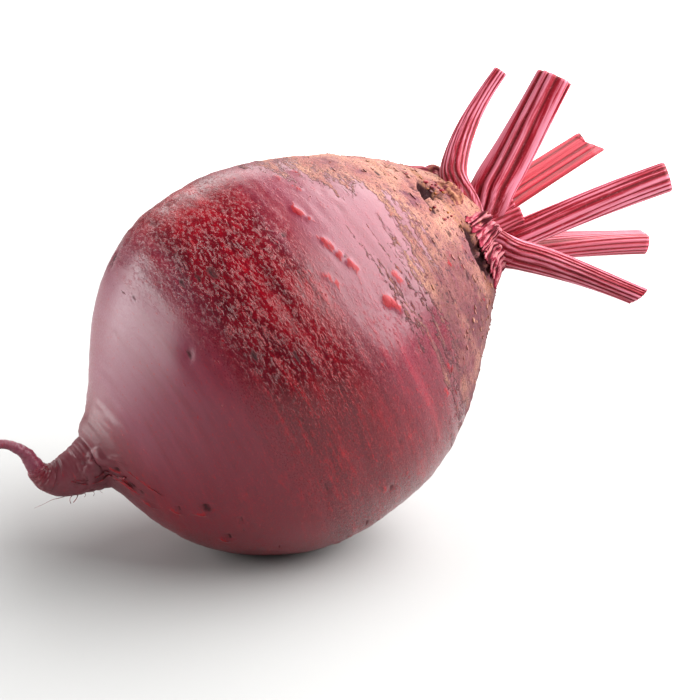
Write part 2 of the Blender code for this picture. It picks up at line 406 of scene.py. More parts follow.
def paint_skin(obj: bpy.types.Object, grown: np.ndarray, masks: dict[Mask, np.ndarray]) -> None:
    """Writes all that the skin's material reads.

    Args:
        obj: The piece.
        grown: Each point's place on the turned form.
        masks: The masks that are not 0 all over.
    """
    paint(obj, GROWN, grown)
    for mask in SKIN_MASKS:
        paint(obj, mask.value, masks.get(mask, np.zeros(len(grown))))


def face_out(obj: bpy.types.Object, weld: float = 1e-7) -> None:
    """Merges doubles and turns a closed mesh's faces outwards.

    Args:
        obj: The piece.
        weld: Distance within which points are merged.
    """
    form = bmesh.new()
    form.from_mesh(obj.data)
    bmesh.ops.remove_doubles(form, verts=form.verts, dist=weld)
    bmesh.ops.recalc_face_normals(form, faces=form.faces)
    form.to_mesh(obj.data)
    form.free()


def dress(obj: bpy.types.Object, material: bpy.types.Material, slot: Slot, *nodes: str) -> None:
    """Gives a finished piece its material and its body, and hides the CAD nodes that it stands for.

    Args:
        obj: The piece, with its place in its mesh.
        material: What it is made of.
        slot: The record's finish. Not used.
        nodes: CAD nodes that it stands for.
    """
    if material.name not in [m.name for m in obj.data.materials if m]:
        obj.data.materials.append(material)
    obj.data.shade_smooth()
    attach(obj, ONE_BODY)
    if nodes:
        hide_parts(*nodes)


def turned_tube(name: str, profile: list[tuple[float, float]], steps: int) -> bpy.types.Object:
    """A profile that is spun round Z and closed.

    Args:
        name: Name of the object.
        profile: (radius, height) from one end to the other, on the axis at both ends.
        steps: Facets all round.

    Returns:
        The object, at the origin.
    """
    start_clean()
    mesh = bpy.data.meshes.new(name)
    mesh.from_pydata([(r, 0, h) for r, h in profile], [(k, k + 1) for k in range(len(profile) - 1)], [])
    obj = bpy.data.objects.new(name, mesh)
    bpy.context.scene.collection.objects.link(obj)
    bpy.context.view_layer.objects.active = obj
    obj.select_set(True)
    bpy.ops.object.mode_set(mode="EDIT")
    bpy.ops.mesh.select_all(action="SELECT")
    bpy.ops.mesh.spin(steps=steps, angle=2 * math.pi, center=(0, 0, 0), axis=(0, 0, 1))
    bpy.ops.mesh.select_all(action="SELECT")
    bpy.ops.mesh.remove_doubles(threshold=1e-6)
    bpy.ops.mesh.select_all(action="SELECT")
    bpy.ops.mesh.normals_make_consistent(inside=False)
    bpy.ops.object.mode_set(mode="OBJECT")
    return obj


# ----------------------------------------------------------------------------------------------
# Materials
# ----------------------------------------------------------------------------------------------

Value = float | tuple | bpy.types.NodeSocket
Color = tuple[float, float, float, float]
Waves = tuple[float, float, float]


class Recipe:
    """A material's node tree, built with a few short calls."""

    MIX_A, MIX_B, MIX_OUT = 6, 7, 2

    def __init__(self, name: str) -> None:
        """Starts a material that holds one Principled shader.

        Args:
            name: Name of the material.
        """
        self.material = bpy.data.materials.new(name)
        self.material.use_nodes = True
        self.tree = self.material.node_tree
        self.shader = self.tree.nodes["Principled BSDF"]

    def feed(self, node: bpy.types.Node, feeds: dict[str | int, Value]) -> None:
        """Fills a node's sockets.

        Args:
            node: The node.
            feeds: A fixed value or another node's output for each socket.
        """
        for socket, value in feeds.items():
            if isinstance(value, bpy.types.NodeSocket):
                self.tree.links.new(value, node.inputs[socket])
            else:
                node.inputs[socket].default_value = value

    def add(self, kind: str, feeds: dict[str | int, Value], **settings: str) -> bpy.types.Node:
        """Adds a node, sets it up and fills its sockets.

        Args:
            kind: The node's type.
            feeds: A fixed value or another node's output for each socket.
            settings: The node's own options.

        Returns:
            The node.
        """
        node = self.tree.nodes.new(kind)
        for key, value in settings.items():
            setattr(node, key, value)
        self.feed(node, feeds)
        return node

    def attribute(self, name: str, output: str = "Fac") -> bpy.types.NodeSocket:
        """A point attribute of the piece."""
        return self.add("ShaderNodeAttribute", {}, attribute_name=name).outputs[output]

    def stretched(self, place: Value, waves: Waves) -> bpy.types.NodeSocket:
        """Coordinates in which one unit is one wave along each direction."""
        scale = tuple(1 / wave for wave in waves)
        return self.add("ShaderNodeMapping", {"Vector": place, "Scale": scale}).outputs[0]

    def noise(
        self, place: Value, waves: Waves, detail: float = 4.0, rough: float = 0.55, bend: float = 0.0
    ) -> bpy.types.NodeSocket:
        """Noise, about 0.5 in the middle.

        Args:
            place: Coordinates.
            waves: Length of one wave along each direction.
            detail: Layers of finer noise.
            rough: How strong the finer layers are.
            bend: How much the noise is warped.

        Returns:
            The noise.
        """
        feeds = {"Vector": self.stretched(place, waves), "Scale": 1.0, "Detail": detail}
        feeds |= {"Roughness": rough, "Distortion": bend}
        return self.add("ShaderNodeTexNoise", feeds).outputs[0]

    def cells(self, place: Value, waves: Waves) -> bpy.types.NodeSocket:
        """Distance to the middle of the nearest cell."""
        feeds = {"Vector": self.stretched(place, waves), "Scale": 1.0, "Randomness": 1.0}
        return self.add("ShaderNodeTexVoronoi", feeds).outputs["Distance"]

    def ease(
        self, value: Value, low: float, high: float, start: float = 0.0, end: float = 1.0
    ) -> bpy.types.NodeSocket:
        """Smooth change from start to end as value goes from low to high."""
        feeds = {"Value": value, "From Min": low, "From Max": high, "To Min": start, "To Max": end}
        return self.add("ShaderNodeMapRange", feeds, interpolation_type="SMOOTHSTEP").outputs[0]

    def sum(self, operation: str, first: Value, second: Value) -> bpy.types.NodeSocket:
        """One arithmetic step."""
        return self.add("ShaderNodeMath", {0: first, 1: second}, operation=operation).outputs[0]

    def times(self, first: Value, second: Value) -> bpy.types.NodeSocket:
        """Product of two values."""
        return self.sum("MULTIPLY", first, second)

    def plus(self, first: Value, second: Value) -> bpy.types.NodeSocket:
        """Sum of two values."""
        return self.sum("ADD", first, second)

    def larger(self, first: Value, second: Value) -> bpy.types.NodeSocket:
        """Larger of two values."""
        return self.sum("MAXIMUM", first, second)

    def blend(self, share: Value, first: Value, second: Value) -> bpy.types.NodeSocket:
        """Colour between the first, at share 0, and the second, at share 1."""
        feeds = {0: share, self.MIX_A: first, self.MIX_B: second}
        return self.add("ShaderNodeMix", feeds, data_type="RGBA").outputs[self.MIX_OUT]

    def relief(self, height: Value, depth: float, below: Value | None = None) -> bpy.types.NodeSocket:
        """Fine bumps.

        Args:
            height: Height, 0 to 1.
            depth: How far it reaches at height 1.
            below: Bumps that these lie on.

        Returns:
            The bumped normal.
        """
        feeds = {"Height": height, "Distance": depth, "Strength": 1.0}
        if below is not None:
            feeds["Normal"] = below
        return self.add("ShaderNodeBump", feeds).outputs[0]

    def finish(
        self, color: Value, rough: Value, normal: Value | None, specular: float
    ) -> bpy.types.Material:
        """Plugs the results into the shader.

        Args:
            color: Base colour.
            rough: Roughness.
            normal: Bumped normal, if there is one.
            specular: Specular level.

        Returns:
            The material.
        """
        feeds = {"Base Color": color, "Roughness": rough, "Specular IOR Level": specular}
        if normal is not None:
            feeds["Normal"] = normal
        self.feed(self.shader, feeds)
        return self.material


def tint(red: float, green: float, blue: float) -> Color:
    """Colour in linear light.

    Args:
        red: Screen value, 0 to 255.
        green: Screen value, 0 to 255.
        blue: Screen value, 0 to 255.

    Returns:
        The colour, with full cover.
    """
    parts = [value / 255 for value in (red, green, blue)]
    linear = [p / 12.92 if p <= 0.04045 else ((p + 0.055) / 1.055) ** 2.4 for p in parts]
    return (*linear, 1.0)


class SkinFields:
    """Masks and noise that the skin's colour, roughness and bumps share."""

    def __init__(self, r: Recipe) -> None:
        """Reads the masks and lays the noise over the turned form.

        Args:
            r: The skin's recipe.
        """
        grown = r.attribute(GROWN, "Vector")
        self.cork = r.attribute(Mask.CORK.value)
        self.grain = r.attribute(Mask.GRAIN.value)
        self.neck = r.attribute(Mask.NECK.value)
        self.pit = r.attribute(Mask.PIT.value)
        self.ruddy = r.attribute(Mask.RUDDY.value)
        self.under = r.attribute(Mask.UNDER.value)
        self.dust_and_sheen = r.attribute(Mask.DUST.value)
        self.scar = r.attribute(Mask.SCAR.value)
        self.band = r.noise(grown, (0.045, 0.045, 0.0050), 4.0, 0.5, 0.4)
        self.streak = r.noise(grown, (0.020, 0.020, 0.0016), 6.0, 0.62, 0.3)
        self.patch = r.noise(grown, (0.011, 0.011, 0.0042), 6.0, 0.68, 0.3)
        self.blotch = r.noise(grown, (0.010, 0.010, 0.007), 5.0, 0.6)
        self.speck = r.noise(grown, (0.0015, 0.0015, 0.00048), 4.0, 0.68)
        self.grit = r.noise(grown, (0.00090, 0.00090, 0.00060), 5.0, 0.78)
        self.fine = r.noise(grown, (0.00045, 0.00045, 0.00028), 2.0, 0.6)
        self.crumbs = r.cells(grown, (0.0014, 0.0014, 0.00056))
        edge = r.plus(self.cork, r.ease(self.streak, 0.2, 0.8, -0.40, 0.40))
        edge = r.plus(edge, r.ease(self.speck, 0.2, 0.8, -0.30, 0.30))
        self.cover = r.ease(edge, 0.42, 0.60)


@dataclass(frozen=True)
class SkinFinish:
    """Skin of the root: wine-red, streaked along its latitudes, corky at the crown."""

    deep: Color = tint(70, 1, 13)
    wine: Color = tint(92, 2, 16)
    crimson: Color = tint(166, 2, 24)
    rose: Color = tint(120, 8, 32)
    plum: Color = tint(88, 12, 32)
    # dusty mauve: partly a dry film, partly a painted sheen of the soft lights' reflection
    dusty_sheen: Color = tint(134, 66, 86)
    cork_tan: Color = tint(156, 90, 78)
    cork_pale: Color = tint(184, 128, 104)
    cork_mauve: Color = tint(106, 36, 58)
    cork_ochre: Color = tint(150, 94, 48)
    cork_dot: Color = tint(52, 4, 20)
    cork_brown: Color = tint(88, 24, 38)
    earth: Color = tint(110, 46, 56)
    scar_red: Color = tint(150, 2, 22)
    # dark red of pits and holes, with painted shade in their hollows
    pit_red_and_shade: Color = tint(52, 1, 10)
    specular: float = 0.46
    bead_depth: float = 0.00011
    fine_depth: float = 0.00005
    flake_depth: float = 0.00030

    def material(self) -> bpy.types.Material:
        """Builds the skin's node tree.

        Returns:
            The skin's material.
        """
        r = Recipe("beetroot_skin")
        f = SkinFields(r)
        color = self.red_skin(r, f)
        color = r.blend(f.cover, color, self.cork_skin(r, f))
        color = self.marks(r, f, color)
        return r.finish(color, self.roughness(r, f), self.bumps(r, f), self.specular)

    def red_skin(self, r: Recipe, f: SkinFields) -> bpy.types.NodeSocket:
        """Colour of the red skin, with its crimson streaks and its dusty film, which is partly a painted
        sheen.

        Args:
            r: The skin's recipe.
            f: The skin's masks and noise.

        Returns:
            The colour.
        """
        color = r.blend(r.ease(f.band, 0.35, 0.68), self.deep, self.wine)
        color = r.blend(r.ease(f.grain, 0.0, 0.8, 0.75, 0.0), color, self.rose)
        streaks = r.times(r.ease(f.streak, 0.48, 0.72), r.ease(f.blotch, 0.38, 0.62))
        streaks = r.times(streaks, r.ease(f.grain, 0.0, 1.0, 0.35, 1.0))
        flush = r.times(f.ruddy, r.ease(f.patch, 0.38, 0.62, 0.10, 0.80))
        color = r.blend(r.larger(streaks, flush), color, self.crimson)
        spark = r.times(r.ease(f.speck, 0.50, 0.62), r.ease(f.streak, 0.40, 0.60, 0.15, 0.75))
        color = r.blend(r.times(spark, f.grain), color, self.crimson)
        color = r.blend(r.ease(f.speck, 0.46, 0.34, 0.0, 0.45), color, self.plum)
        color = r.blend(r.ease(f.fine, 0.54, 0.66, 0.0, 0.30), color, self.crimson)
        # painted sheen: the dusty mauve stands in part for the soft lights' reflection on the smooth skin
        sheen_haze = r.times(f.dust_and_sheen, r.ease(f.streak, 0.25, 0.60, 0.60, 1.0))
        return r.blend(sheen_haze, color, self.dusty_sheen)

    def cork_skin(self, r: Recipe, f: SkinFields) -> bpy.types.NodeSocket:
        """Colour of the cork round the crown, mottled and browner on its low side.

        Args:
            r: The skin's recipe.
            f: The skin's masks and noise.

        Returns:
            The colour.
        """
        color = r.blend(r.ease(f.patch, 0.36, 0.56), self.cork_mauve, self.cork_tan)
        pale = r.plus(f.blotch, r.ease(f.grit, 0.2, 0.8, -0.2, 0.2))
        color = r.blend(r.ease(pale, 0.40, 0.60), color, self.cork_pale)
        ochre = r.times(r.ease(f.band, 0.50, 0.62), r.ease(f.cork, 0.8, 1.5, 0.2, 0.8))
        color = r.blend(ochre, color, self.cork_ochre)
        # cork browner and darker on the low side and in the middle of the crown's plateau
        browner_part = r.times(f.under, r.ease(f.patch, 0.42, 0.58, 0.35, 0.95))
        color = r.blend(browner_part, color, self.cork_brown)
        color = r.blend(r.ease(f.grit, 0.50, 0.58, 0.0, 0.70), color, self.cork_mauve)
        return r.blend(r.ease(f.grit, 0.455, 0.39, 0.0, 0.85), color, self.cork_dot)

    def marks(self, r: Recipe, f: SkinFields, color: Value) -> bpy.types.NodeSocket:
        """Lays earth, scars and pits over the skin's colour; the pits are dark tissue with painted shade in
        their hollows.

        Args:
            r: The skin's recipe.
            f: The skin's masks and noise.
            color: Colour of the skin under them.

        Returns:
            The colour.
        """
        earthy = r.times(f.neck, r.ease(f.streak, 0.25, 0.6, 0.65, 1.0))
        color = r.blend(earthy, color, self.earth)
        scar = r.plus(f.scar, r.ease(f.speck, 0.3, 0.7, -0.5, 0.5))
        color = r.blend(r.ease(scar, 0.35, 0.6), color, self.scar_red)
        # pits and holes painted dark: dark tissue and painted shade in their hollows
        pit = r.plus(f.pit, r.ease(f.speck, 0.3, 0.7, -0.15, 0.15))
        return r.blend(r.ease(pit, 0.2, 0.75), color, self.pit_red_and_shade)

    def roughness(self, r: Recipe, f: SkinFields) -> bpy.types.NodeSocket:
        """Roughness: wet over the grain, satin on the film, dry on cork, pits and scars.

        Args:
            r: The skin's recipe.
            f: The skin's masks and noise.

        Returns:
            The roughness.
        """
        rough = r.ease(f.grain, 0.0, 1.0, 0.34, 0.20)
        rough = r.larger(rough, r.ease(f.cover, 0.0, 1.0, 0.0, 0.66))
        rough = r.larger(rough, r.ease(f.dust_and_sheen, 0.1, 0.8, 0.0, 0.38))
        rough = r.plus(rough, r.ease(f.fine, 0.3, 0.7, -0.06, 0.06))
        rough = r.plus(rough, r.ease(f.neck, 0.0, 1.0, 0.0, 0.16))
        rough = r.larger(rough, r.ease(f.pit, 0.2, 0.6, 0.0, 0.85))
        return r.larger(rough, r.ease(f.scar, 0.3, 0.7, 0.0, 0.60))

    def bumps(self, r: Recipe, f: SkinFields) -> bpy.types.NodeSocket:
        """Beads over the grain, fine bumps everywhere and flaky cork.

        Args:
            r: The skin's recipe.
            f: The skin's masks and noise.

        Returns:
            The bumped normal.
        """
        bead = r.plus(r.ease(f.speck, 0.50, 0.68), r.ease(f.crumbs, 0.10, 0.45, 0.25, 0.0))
        normal = r.relief(r.times(bead, f.grain), self.bead_depth)
        fine = r.times(f.fine, r.ease(f.grain, 0.0, 1.0, 0.4, 1.0))
        normal = r.relief(fine, self.fine_depth, normal)
        return r.relief(r.times(r.plus(f.patch, f.grit), f.cover), self.flake_depth, normal)


@dataclass(frozen=True)
class StalkFinish:
    """Outside of a leaf stalk: pale pink ribs over crimson grooves."""

    groove: Color = tint(112, 0, 16)
    flank: Color = tint(172, 8, 38)
    crest: Color = tint(230, 138, 160)
    shade: Color = tint(58, 2, 12)
    roughness: float = 0.46
    specular: float = 0.42
    fibre_depth: float = 0.00012

    def material(self) -> bpy.types.Material:
        """Builds the stalk's node tree.

        Returns:
            The stalk's material.
        """
        r = Recipe("stalk_skin")
        grown = r.attribute(GROWN, "Vector")
        pale = r.attribute(Mask.PALE.value)
        fibre = r.noise(grown, (0.00035, 0.00035, 0.012), 4.0, 0.6)
        patch = r.noise(grown, (0.0035, 0.0035, 0.018), 3.0, 0.5)
        speck = r.noise(grown, (0.00030, 0.00030, 0.0007), 2.0, 0.6)
        ridge = r.plus(r.attribute(Mask.RIB.value), r.ease(fibre, 0.3, 0.7, -0.22, 0.22))
        ridge = r.plus(ridge, r.ease(patch, 0.3, 0.7, -0.15, 0.15))
        color = r.blend(r.ease(ridge, 0.10, 0.62), self.groove, self.flank)
        color = r.blend(r.times(r.ease(ridge, 0.46, 0.90), pale), color, self.crest)
        color = r.blend(r.times(r.ease(speck, 0.55, 0.75, 0.0, 0.25), pale), color, self.crest)
        # painted shade inside the stalk near its foot
        color = r.blend(r.attribute(Mask.DARK.value), color, self.shade)
        normal = r.relief(r.plus(fibre, r.times(speck, 0.5)), self.fibre_depth)
        return r.finish(color, self.roughness, normal, self.specular)


@dataclass(frozen=True)
class FleshFinish:
    """Cut end of a stalk: wet pink flesh with darker strands."""

    flesh: Color = tint(200, 84, 106)
    heart: Color = tint(156, 22, 48)
    strand: Color = tint(120, 8, 30)
    roughness: float = 0.32
    specular: float = 0.5
    cell_depth: float = 0.00012

    def material(self) -> bpy.types.Material:
        """Builds the cut flesh's node tree.

        Returns:
            The cut flesh's material.
        """
        r = Recipe("cut_flesh")
        grown = r.attribute(GROWN, "Vector")
        strands = r.cells(grown, (0.0011, 0.0011, 0.02))
        cell = r.noise(grown, (0.00025, 0.00025, 0.001), 3.0, 0.6)
        color = r.blend(r.ease(cell, 0.35, 0.65), self.heart, self.flesh)
        color = r.blend(r.ease(strands, 0.12, 0.30, 0.8, 0.0), color, self.strand)
        return r.finish(color, self.roughness, r.relief(cell, self.cell_depth), self.specular)


@dataclass(frozen=True)
class TornFinish:
    """Torn leaf base: pale papery ridges over dark red cavities, with painted shade between the ridges and
    in the hollows.
    """

    paper: Color = tint(192, 116, 124)
    pink: Color = tint(142, 30, 56)
    # dark red of the cavities, with painted shade in the grooves and hollows
    cavity_red_and_shade: Color = tint(60, 1, 10)
    tan: Color = tint(176, 118, 92)
    umber: Color = tint(116, 54, 58)
    roughness: float = 0.78
    specular: float = 0.15
    fibre_depth: float = 0.00022

    def material(self) -> bpy.types.Material:
        """Builds the torn tissue's node tree.

        Returns:
            The torn tissue's material.
        """
        r = Recipe("torn_tissue")
        grown = r.attribute(GROWN, "Vector")
        fibre = r.noise(grown, (0.0004, 0.0004, 0.004), 4.0, 0.6)
        patch = r.noise(grown, (0.0016, 0.0016, 0.0016), 4.0, 0.6)
        ridge = r.plus(r.attribute(Mask.RIB.value), r.ease(fibre, 0.3, 0.7, -0.3, 0.3))
        color = r.blend(r.ease(ridge, 0.2, 0.6), self.pink, self.paper)
        color = r.blend(r.ease(patch, 0.50, 0.68, 0.0, 0.8), color, self.pink)
        color = r.blend(r.ease(patch, 0.30, 0.42, 0.6, 0.0), color, self.tan)
        crust = r.blend(r.ease(patch, 0.40, 0.60), self.umber, self.tan)
        dry = r.plus(r.attribute(Mask.CORK.value), r.ease(patch, 0.3, 0.7, -0.3, 0.3))
        color = r.blend(r.ease(dry, 0.35, 0.65), color, crust)
        # painted shade between the ridges and in the hollows
        color = r.blend(r.attribute(Mask.DARK.value), color, self.cavity_red_and_shade)
        return r.finish(color, self.roughness, r.relief(fibre, self.fibre_depth), self.specular)


@dataclass(frozen=True)
class RootletFinish:
    """Rootlets and crumbs of pulp: wet, crimson unless other colours are given."""

    name: str = "rootlet"
    red: Color = tint(150, 14, 36)
    dark: Color = tint(84, 8, 22)
    roughness: float = 0.42
    specular: float = 0.5
    patch_size: float = 0.0009
    patch_depth: float = 0.0002

    def material(self) -> bpy.types.Material:
        """Builds the node tree.

        Returns:
            The material.
        """
        r = Recipe(self.name)
        place = r.add("ShaderNodeTexCoord", {}).outputs["Object"]
        patch = r.noise(place, (self.patch_size,) * 3, 4.0, 0.6)
        color = r.blend(r.ease(patch, 0.38, 0.62), self.dark, self.red)
        return r.finish(color, self.roughness, r.relief(patch, self.patch_depth), self.specular)


# ----------------------------------------------------------------------------------------------
# Root
# ----------------------------------------------------------------------------------------------


@dataclass
class RootSkin:
    """Globe, crown and thick neck of the root as one closed skin."""

    around: int = 384
    neck_end: float = -0.0096
    neck_round: float = 0.0006
    neck_rings: int = 38
    globe_rings: int = 194
    plateau_rings: int = 22
    ring_samples: int = 4000
    rest_height: float = 0.002
    form: RootForm = field(default_factory=RootForm)

    def profile(self) -> list[tuple[float, float]]:
        """Rings of the skin, from the neck's end to the crown's middle.

        Returns:
            Radius and station of each ring.
        """
        stations, _, radii = self.form.route()
        neck = np.linspace(self.neck_end, 0, self.neck_rings, endpoint=False)
        rows = [(0.0, self.neck_end + self.neck_round)]
        rows += [(float(np.interp(s, stations, radii)), float(s)) for s in neck]
        fine = np.linspace(0, self.form.globe_length, self.ring_samples)
        radius = self.form.globe_radius(fine)
        run = np.concatenate([[0], np.cumsum(np.hypot(np.diff(fine), np.diff(radius)))])
        even = np.interp(np.linspace(0, run[-1], self.globe_rings), run, fine)
        rows += [(float(self.form.globe_radius(s)), float(s)) for s in even]
        for ring in range(1, self.plateau_rings + 1):
            radius = self.form.crown_radius * (1 - ring / self.plateau_rings)
            inside = smooth_step(self.form.crown_radius, self.form.plateau_radius, np.array(radius))
            rows.append((radius, self.form.globe_length + self.form.plateau_rise * float(inside)))
        return rows

    def build(self, skin: bpy.types.Material) -> bpy.types.Object:
        """Turns, shapes and paints the skin, and leaves it smooth where it rests.

        Args:
            skin: The skin's material.

        Returns:
            The finished piece.
        """
        obj = turned_tube("root_skin", self.profile(), self.around)
        grown = points_of(obj)
        place_points(obj, self.form.lay(grown))
        laid = points_of(obj)
        out = normals_of(obj)
        relief, masks = SkinRelief(self.form).shape(grown)
        free = smooth_step(0.0, self.rest_height, laid[:, 2])[:, None]
        lifted = laid * (1 - free) + (laid + out * relief[:, None]) * free
        lifted[:, 2] = np.maximum(lifted[:, 2], 0.0)
        place_points(obj, lifted)
        paint_skin(obj, grown, masks)
        dress(obj, skin, Slot.SKIN, "root")
        return obj


@dataclass(frozen=True)
class Blemish:
    """A raised dash or a pit on the skin, from one spot to another.

    Stations and sizes are in millimetres and clocks in degrees. Height is above 0 for a dash and
    below 0 for a pit; dark and scar say how strongly it takes the pit's or the scar's colour.
    """

    station: float
    clock: float
    end_station: float
    end_clock: float
    reach: float
    height: float
    # how dark a pit is painted: dark tissue and painted shade in its hollow
    dark: float = 0.0
    scar: float = 0.0

    @property
    def middle(self) -> tuple[float, float]:
        """Station and clock halfway."""
        return (self.station + self.end_station) / 2, (self.clock + self.end_clock) / 2

    def near(self, clock: np.ndarray, station: np.ndarray) -> np.ndarray:
        """Which points are near enough to be changed; degrees are short near the neck.

        Args:
            clock: Clock of each point.
            station: Station of each point, in metres.

        Returns:
            True or False for each point.
        """
        sideways = 60 if self.station < 10 else 24
        level = np.abs(station / MM - self.middle[0]) < 9
        return level & (np.abs(turn_gap(clock, self.middle[1])) < sideways)

    def share(
        self, clock: np.ndarray, station: np.ndarray, radius: np.ndarray, ragged: np.ndarray
    ) -> np.ndarray:
        """How much of the blemish each point has.

        Args:
            clock: Clock of each point.
            station: Station of each point, in metres.
            radius: Distance of each point from the axis, in metres.
            ragged: Noise, -1 to 1, that frays the edge.

        Returns:
            1 on the blemish's middle line, falling to 0.
        """
        station_middle, clock_middle = self.middle
        around = np.radians(turn_gap(clock, clock_middle)) * radius / MM
        along = station / MM - station_middle
        root_radius = float(FORM.globe_radius(np.array(station_middle * MM))) / MM
        turn = math.radians(self.end_clock - self.clock)
        half = np.array([turn * root_radius / 2, (self.end_station - self.station) / 2])
        length = max(float(half @ half), 1e-6)
        run = np.clip((around * half[0] + along * half[1]) / length, -1, 1)
        gap = np.hypot(around - run * half[0], along - run * half[1])
        return np.exp(-((gap / (self.reach * (1 + 0.6 * ragged))) ** 2))


def pit(station: float, clock: float, reach: float, depth: float, dark: float, wide: float = 0.0) -> Blemish:
    """A pit, wide degrees longer round the root than along it."""
    return Blemish(station, clock - wide, station, clock + wide, reach, -depth, dark=dark)


def torn_rootlet(station: float, clock: float, size: float = 1.0) -> tuple[Blemish, Blemish]:
    """Scar of a torn side root: a red lump beside a dark pit."""
    lump = Blemish(station, clock, station + 0.4, clock + 1.0, 0.50 * size, 0.42 * size, scar=1.0)
    return lump, pit(station + 1.0 * size, clock - 3.0, 0.40 * size, 0.30 * size, 0.65, 1.5)


RED_DASHES = (
    Blemish(55.0, 40.0, 57.5, 55.0, 0.42, 0.50, scar=1.3),
    Blemish(54.7, 27.0, 56.0, 34.0, 0.40, 0.40, scar=1.3),
    Blemish(51.4, 52.0, 52.6, 56.0, 0.42, 0.30, scar=1.2),
    Blemish(59.2, 67.0, 60.6, 72.0, 0.60, 0.55, scar=1.3),
    Blemish(63.4, 62.0, 64.2, 66.0, 0.42, 0.30, scar=1.0),
    Blemish(3.4, 76.0, 5.6, 92.0, 0.20, 0.14, scar=0.9),
)

# holes in the shoulder, painted past full dark for the shade deep inside them
CROWN_HOLES = (
    pit(82.3, 33.0, 1.3, 2.8, 2.2, 3.0),
    pit(84.6, 40.0, 0.8, 0.9, 0.7, 3.0),
    pit(80.6, 44.0, 0.5, 0.6, 0.8, 5.0),
    pit(84.6, 76.0, 0.8, 1.8, 1.6, 7.0),
    pit(85.2, 95.0, 1.3, 2.4, 1.8, 6.0),
    pit(79.8, 7.0, 0.6, 0.7, 0.8, 2.5),
)

SKIN_PITS = (
    pit(55.6, 47.5, 0.22, 0.18, 0.45, 7.5),
    pit(24.1, -17.0, 1.5, 0.35, 0.7, 1.5),
    pit(34.3, 33.0, 1.0, 0.40, 0.6, 1.0),
    pit(31.8, 31.0, 0.6, 0.30, 0.6, 1.0),
    pit(22.5, 47.0, 0.7, 0.22, 0.6, 0.6),
    pit(38.0, -8.0, 0.7, 0.25, 0.5, 2.0),
    pit(33.0, -4.0, 0.6, 0.22, 0.5, 3.0),
    pit(28.0, -12.0, 0.7, 0.25, 0.5, 1.0),
)

ROOTLET_SCARS = (
    *torn_rootlet(1.2, 80.0, 0.8),
    *torn_rootlet(1.6, 97.0, 1.2),
    *torn_rootlet(2.6, 101.0, 0.9),
    *torn_rootlet(3.4, 112.0, 0.8),
    *torn_rootlet(6.6, 106.0),
    *torn_rootlet(10.2, 105.0, 1.3),
    *torn_rootlet(12.0, 127.0),
    *torn_rootlet(2.0, -95.0),
    *torn_rootlet(4.2, -100.0, 1.2),
    *torn_rootlet(8.6, -106.0, 0.9),
    *torn_rootlet(14.0, -118.0),
)

NECK_KNOBS = (
    Blemish(0.4, 62.0, -2.6, 74.0, 1.5, 1.0),
    Blemish(-3.0, 120.0, -5.0, 100.0, 1.5, 0.6),
)


def scattered(count: int, seed: int) -> list[Blemish]:
    """Small dashes and pits at random places all over the globe.

    Args:
        count: How many are tried; dashes are left out near the tail.
        seed: Seed of the random places.

    Returns:
        The blemishes.
    """
    chance = random.Random(seed)
    found = []
    for _ in range(count):
        station, clock = chance.uniform(14, 82), chance.uniform(-180, 180)
        if chance.random() < 0.55:
            depth = chance.uniform(0.08, 0.26)
            reach, dark = chance.uniform(0.25, 0.65), chance.uniform(0.3, 0.8)
            found.append(pit(station, clock, reach, depth, dark, chance.uniform(0, 2.0)))
        elif station > 30:
            length, tilt = chance.uniform(1.5, 6.0), chance.uniform(-0.3, 0.8)
            scar, reach = chance.uniform(0.2, 0.9), chance.uniform(0.18, 0.34)
            found.append(Blemish(station, clock, station + tilt, clock + length, reach, 0.16, scar=scar))
    return found


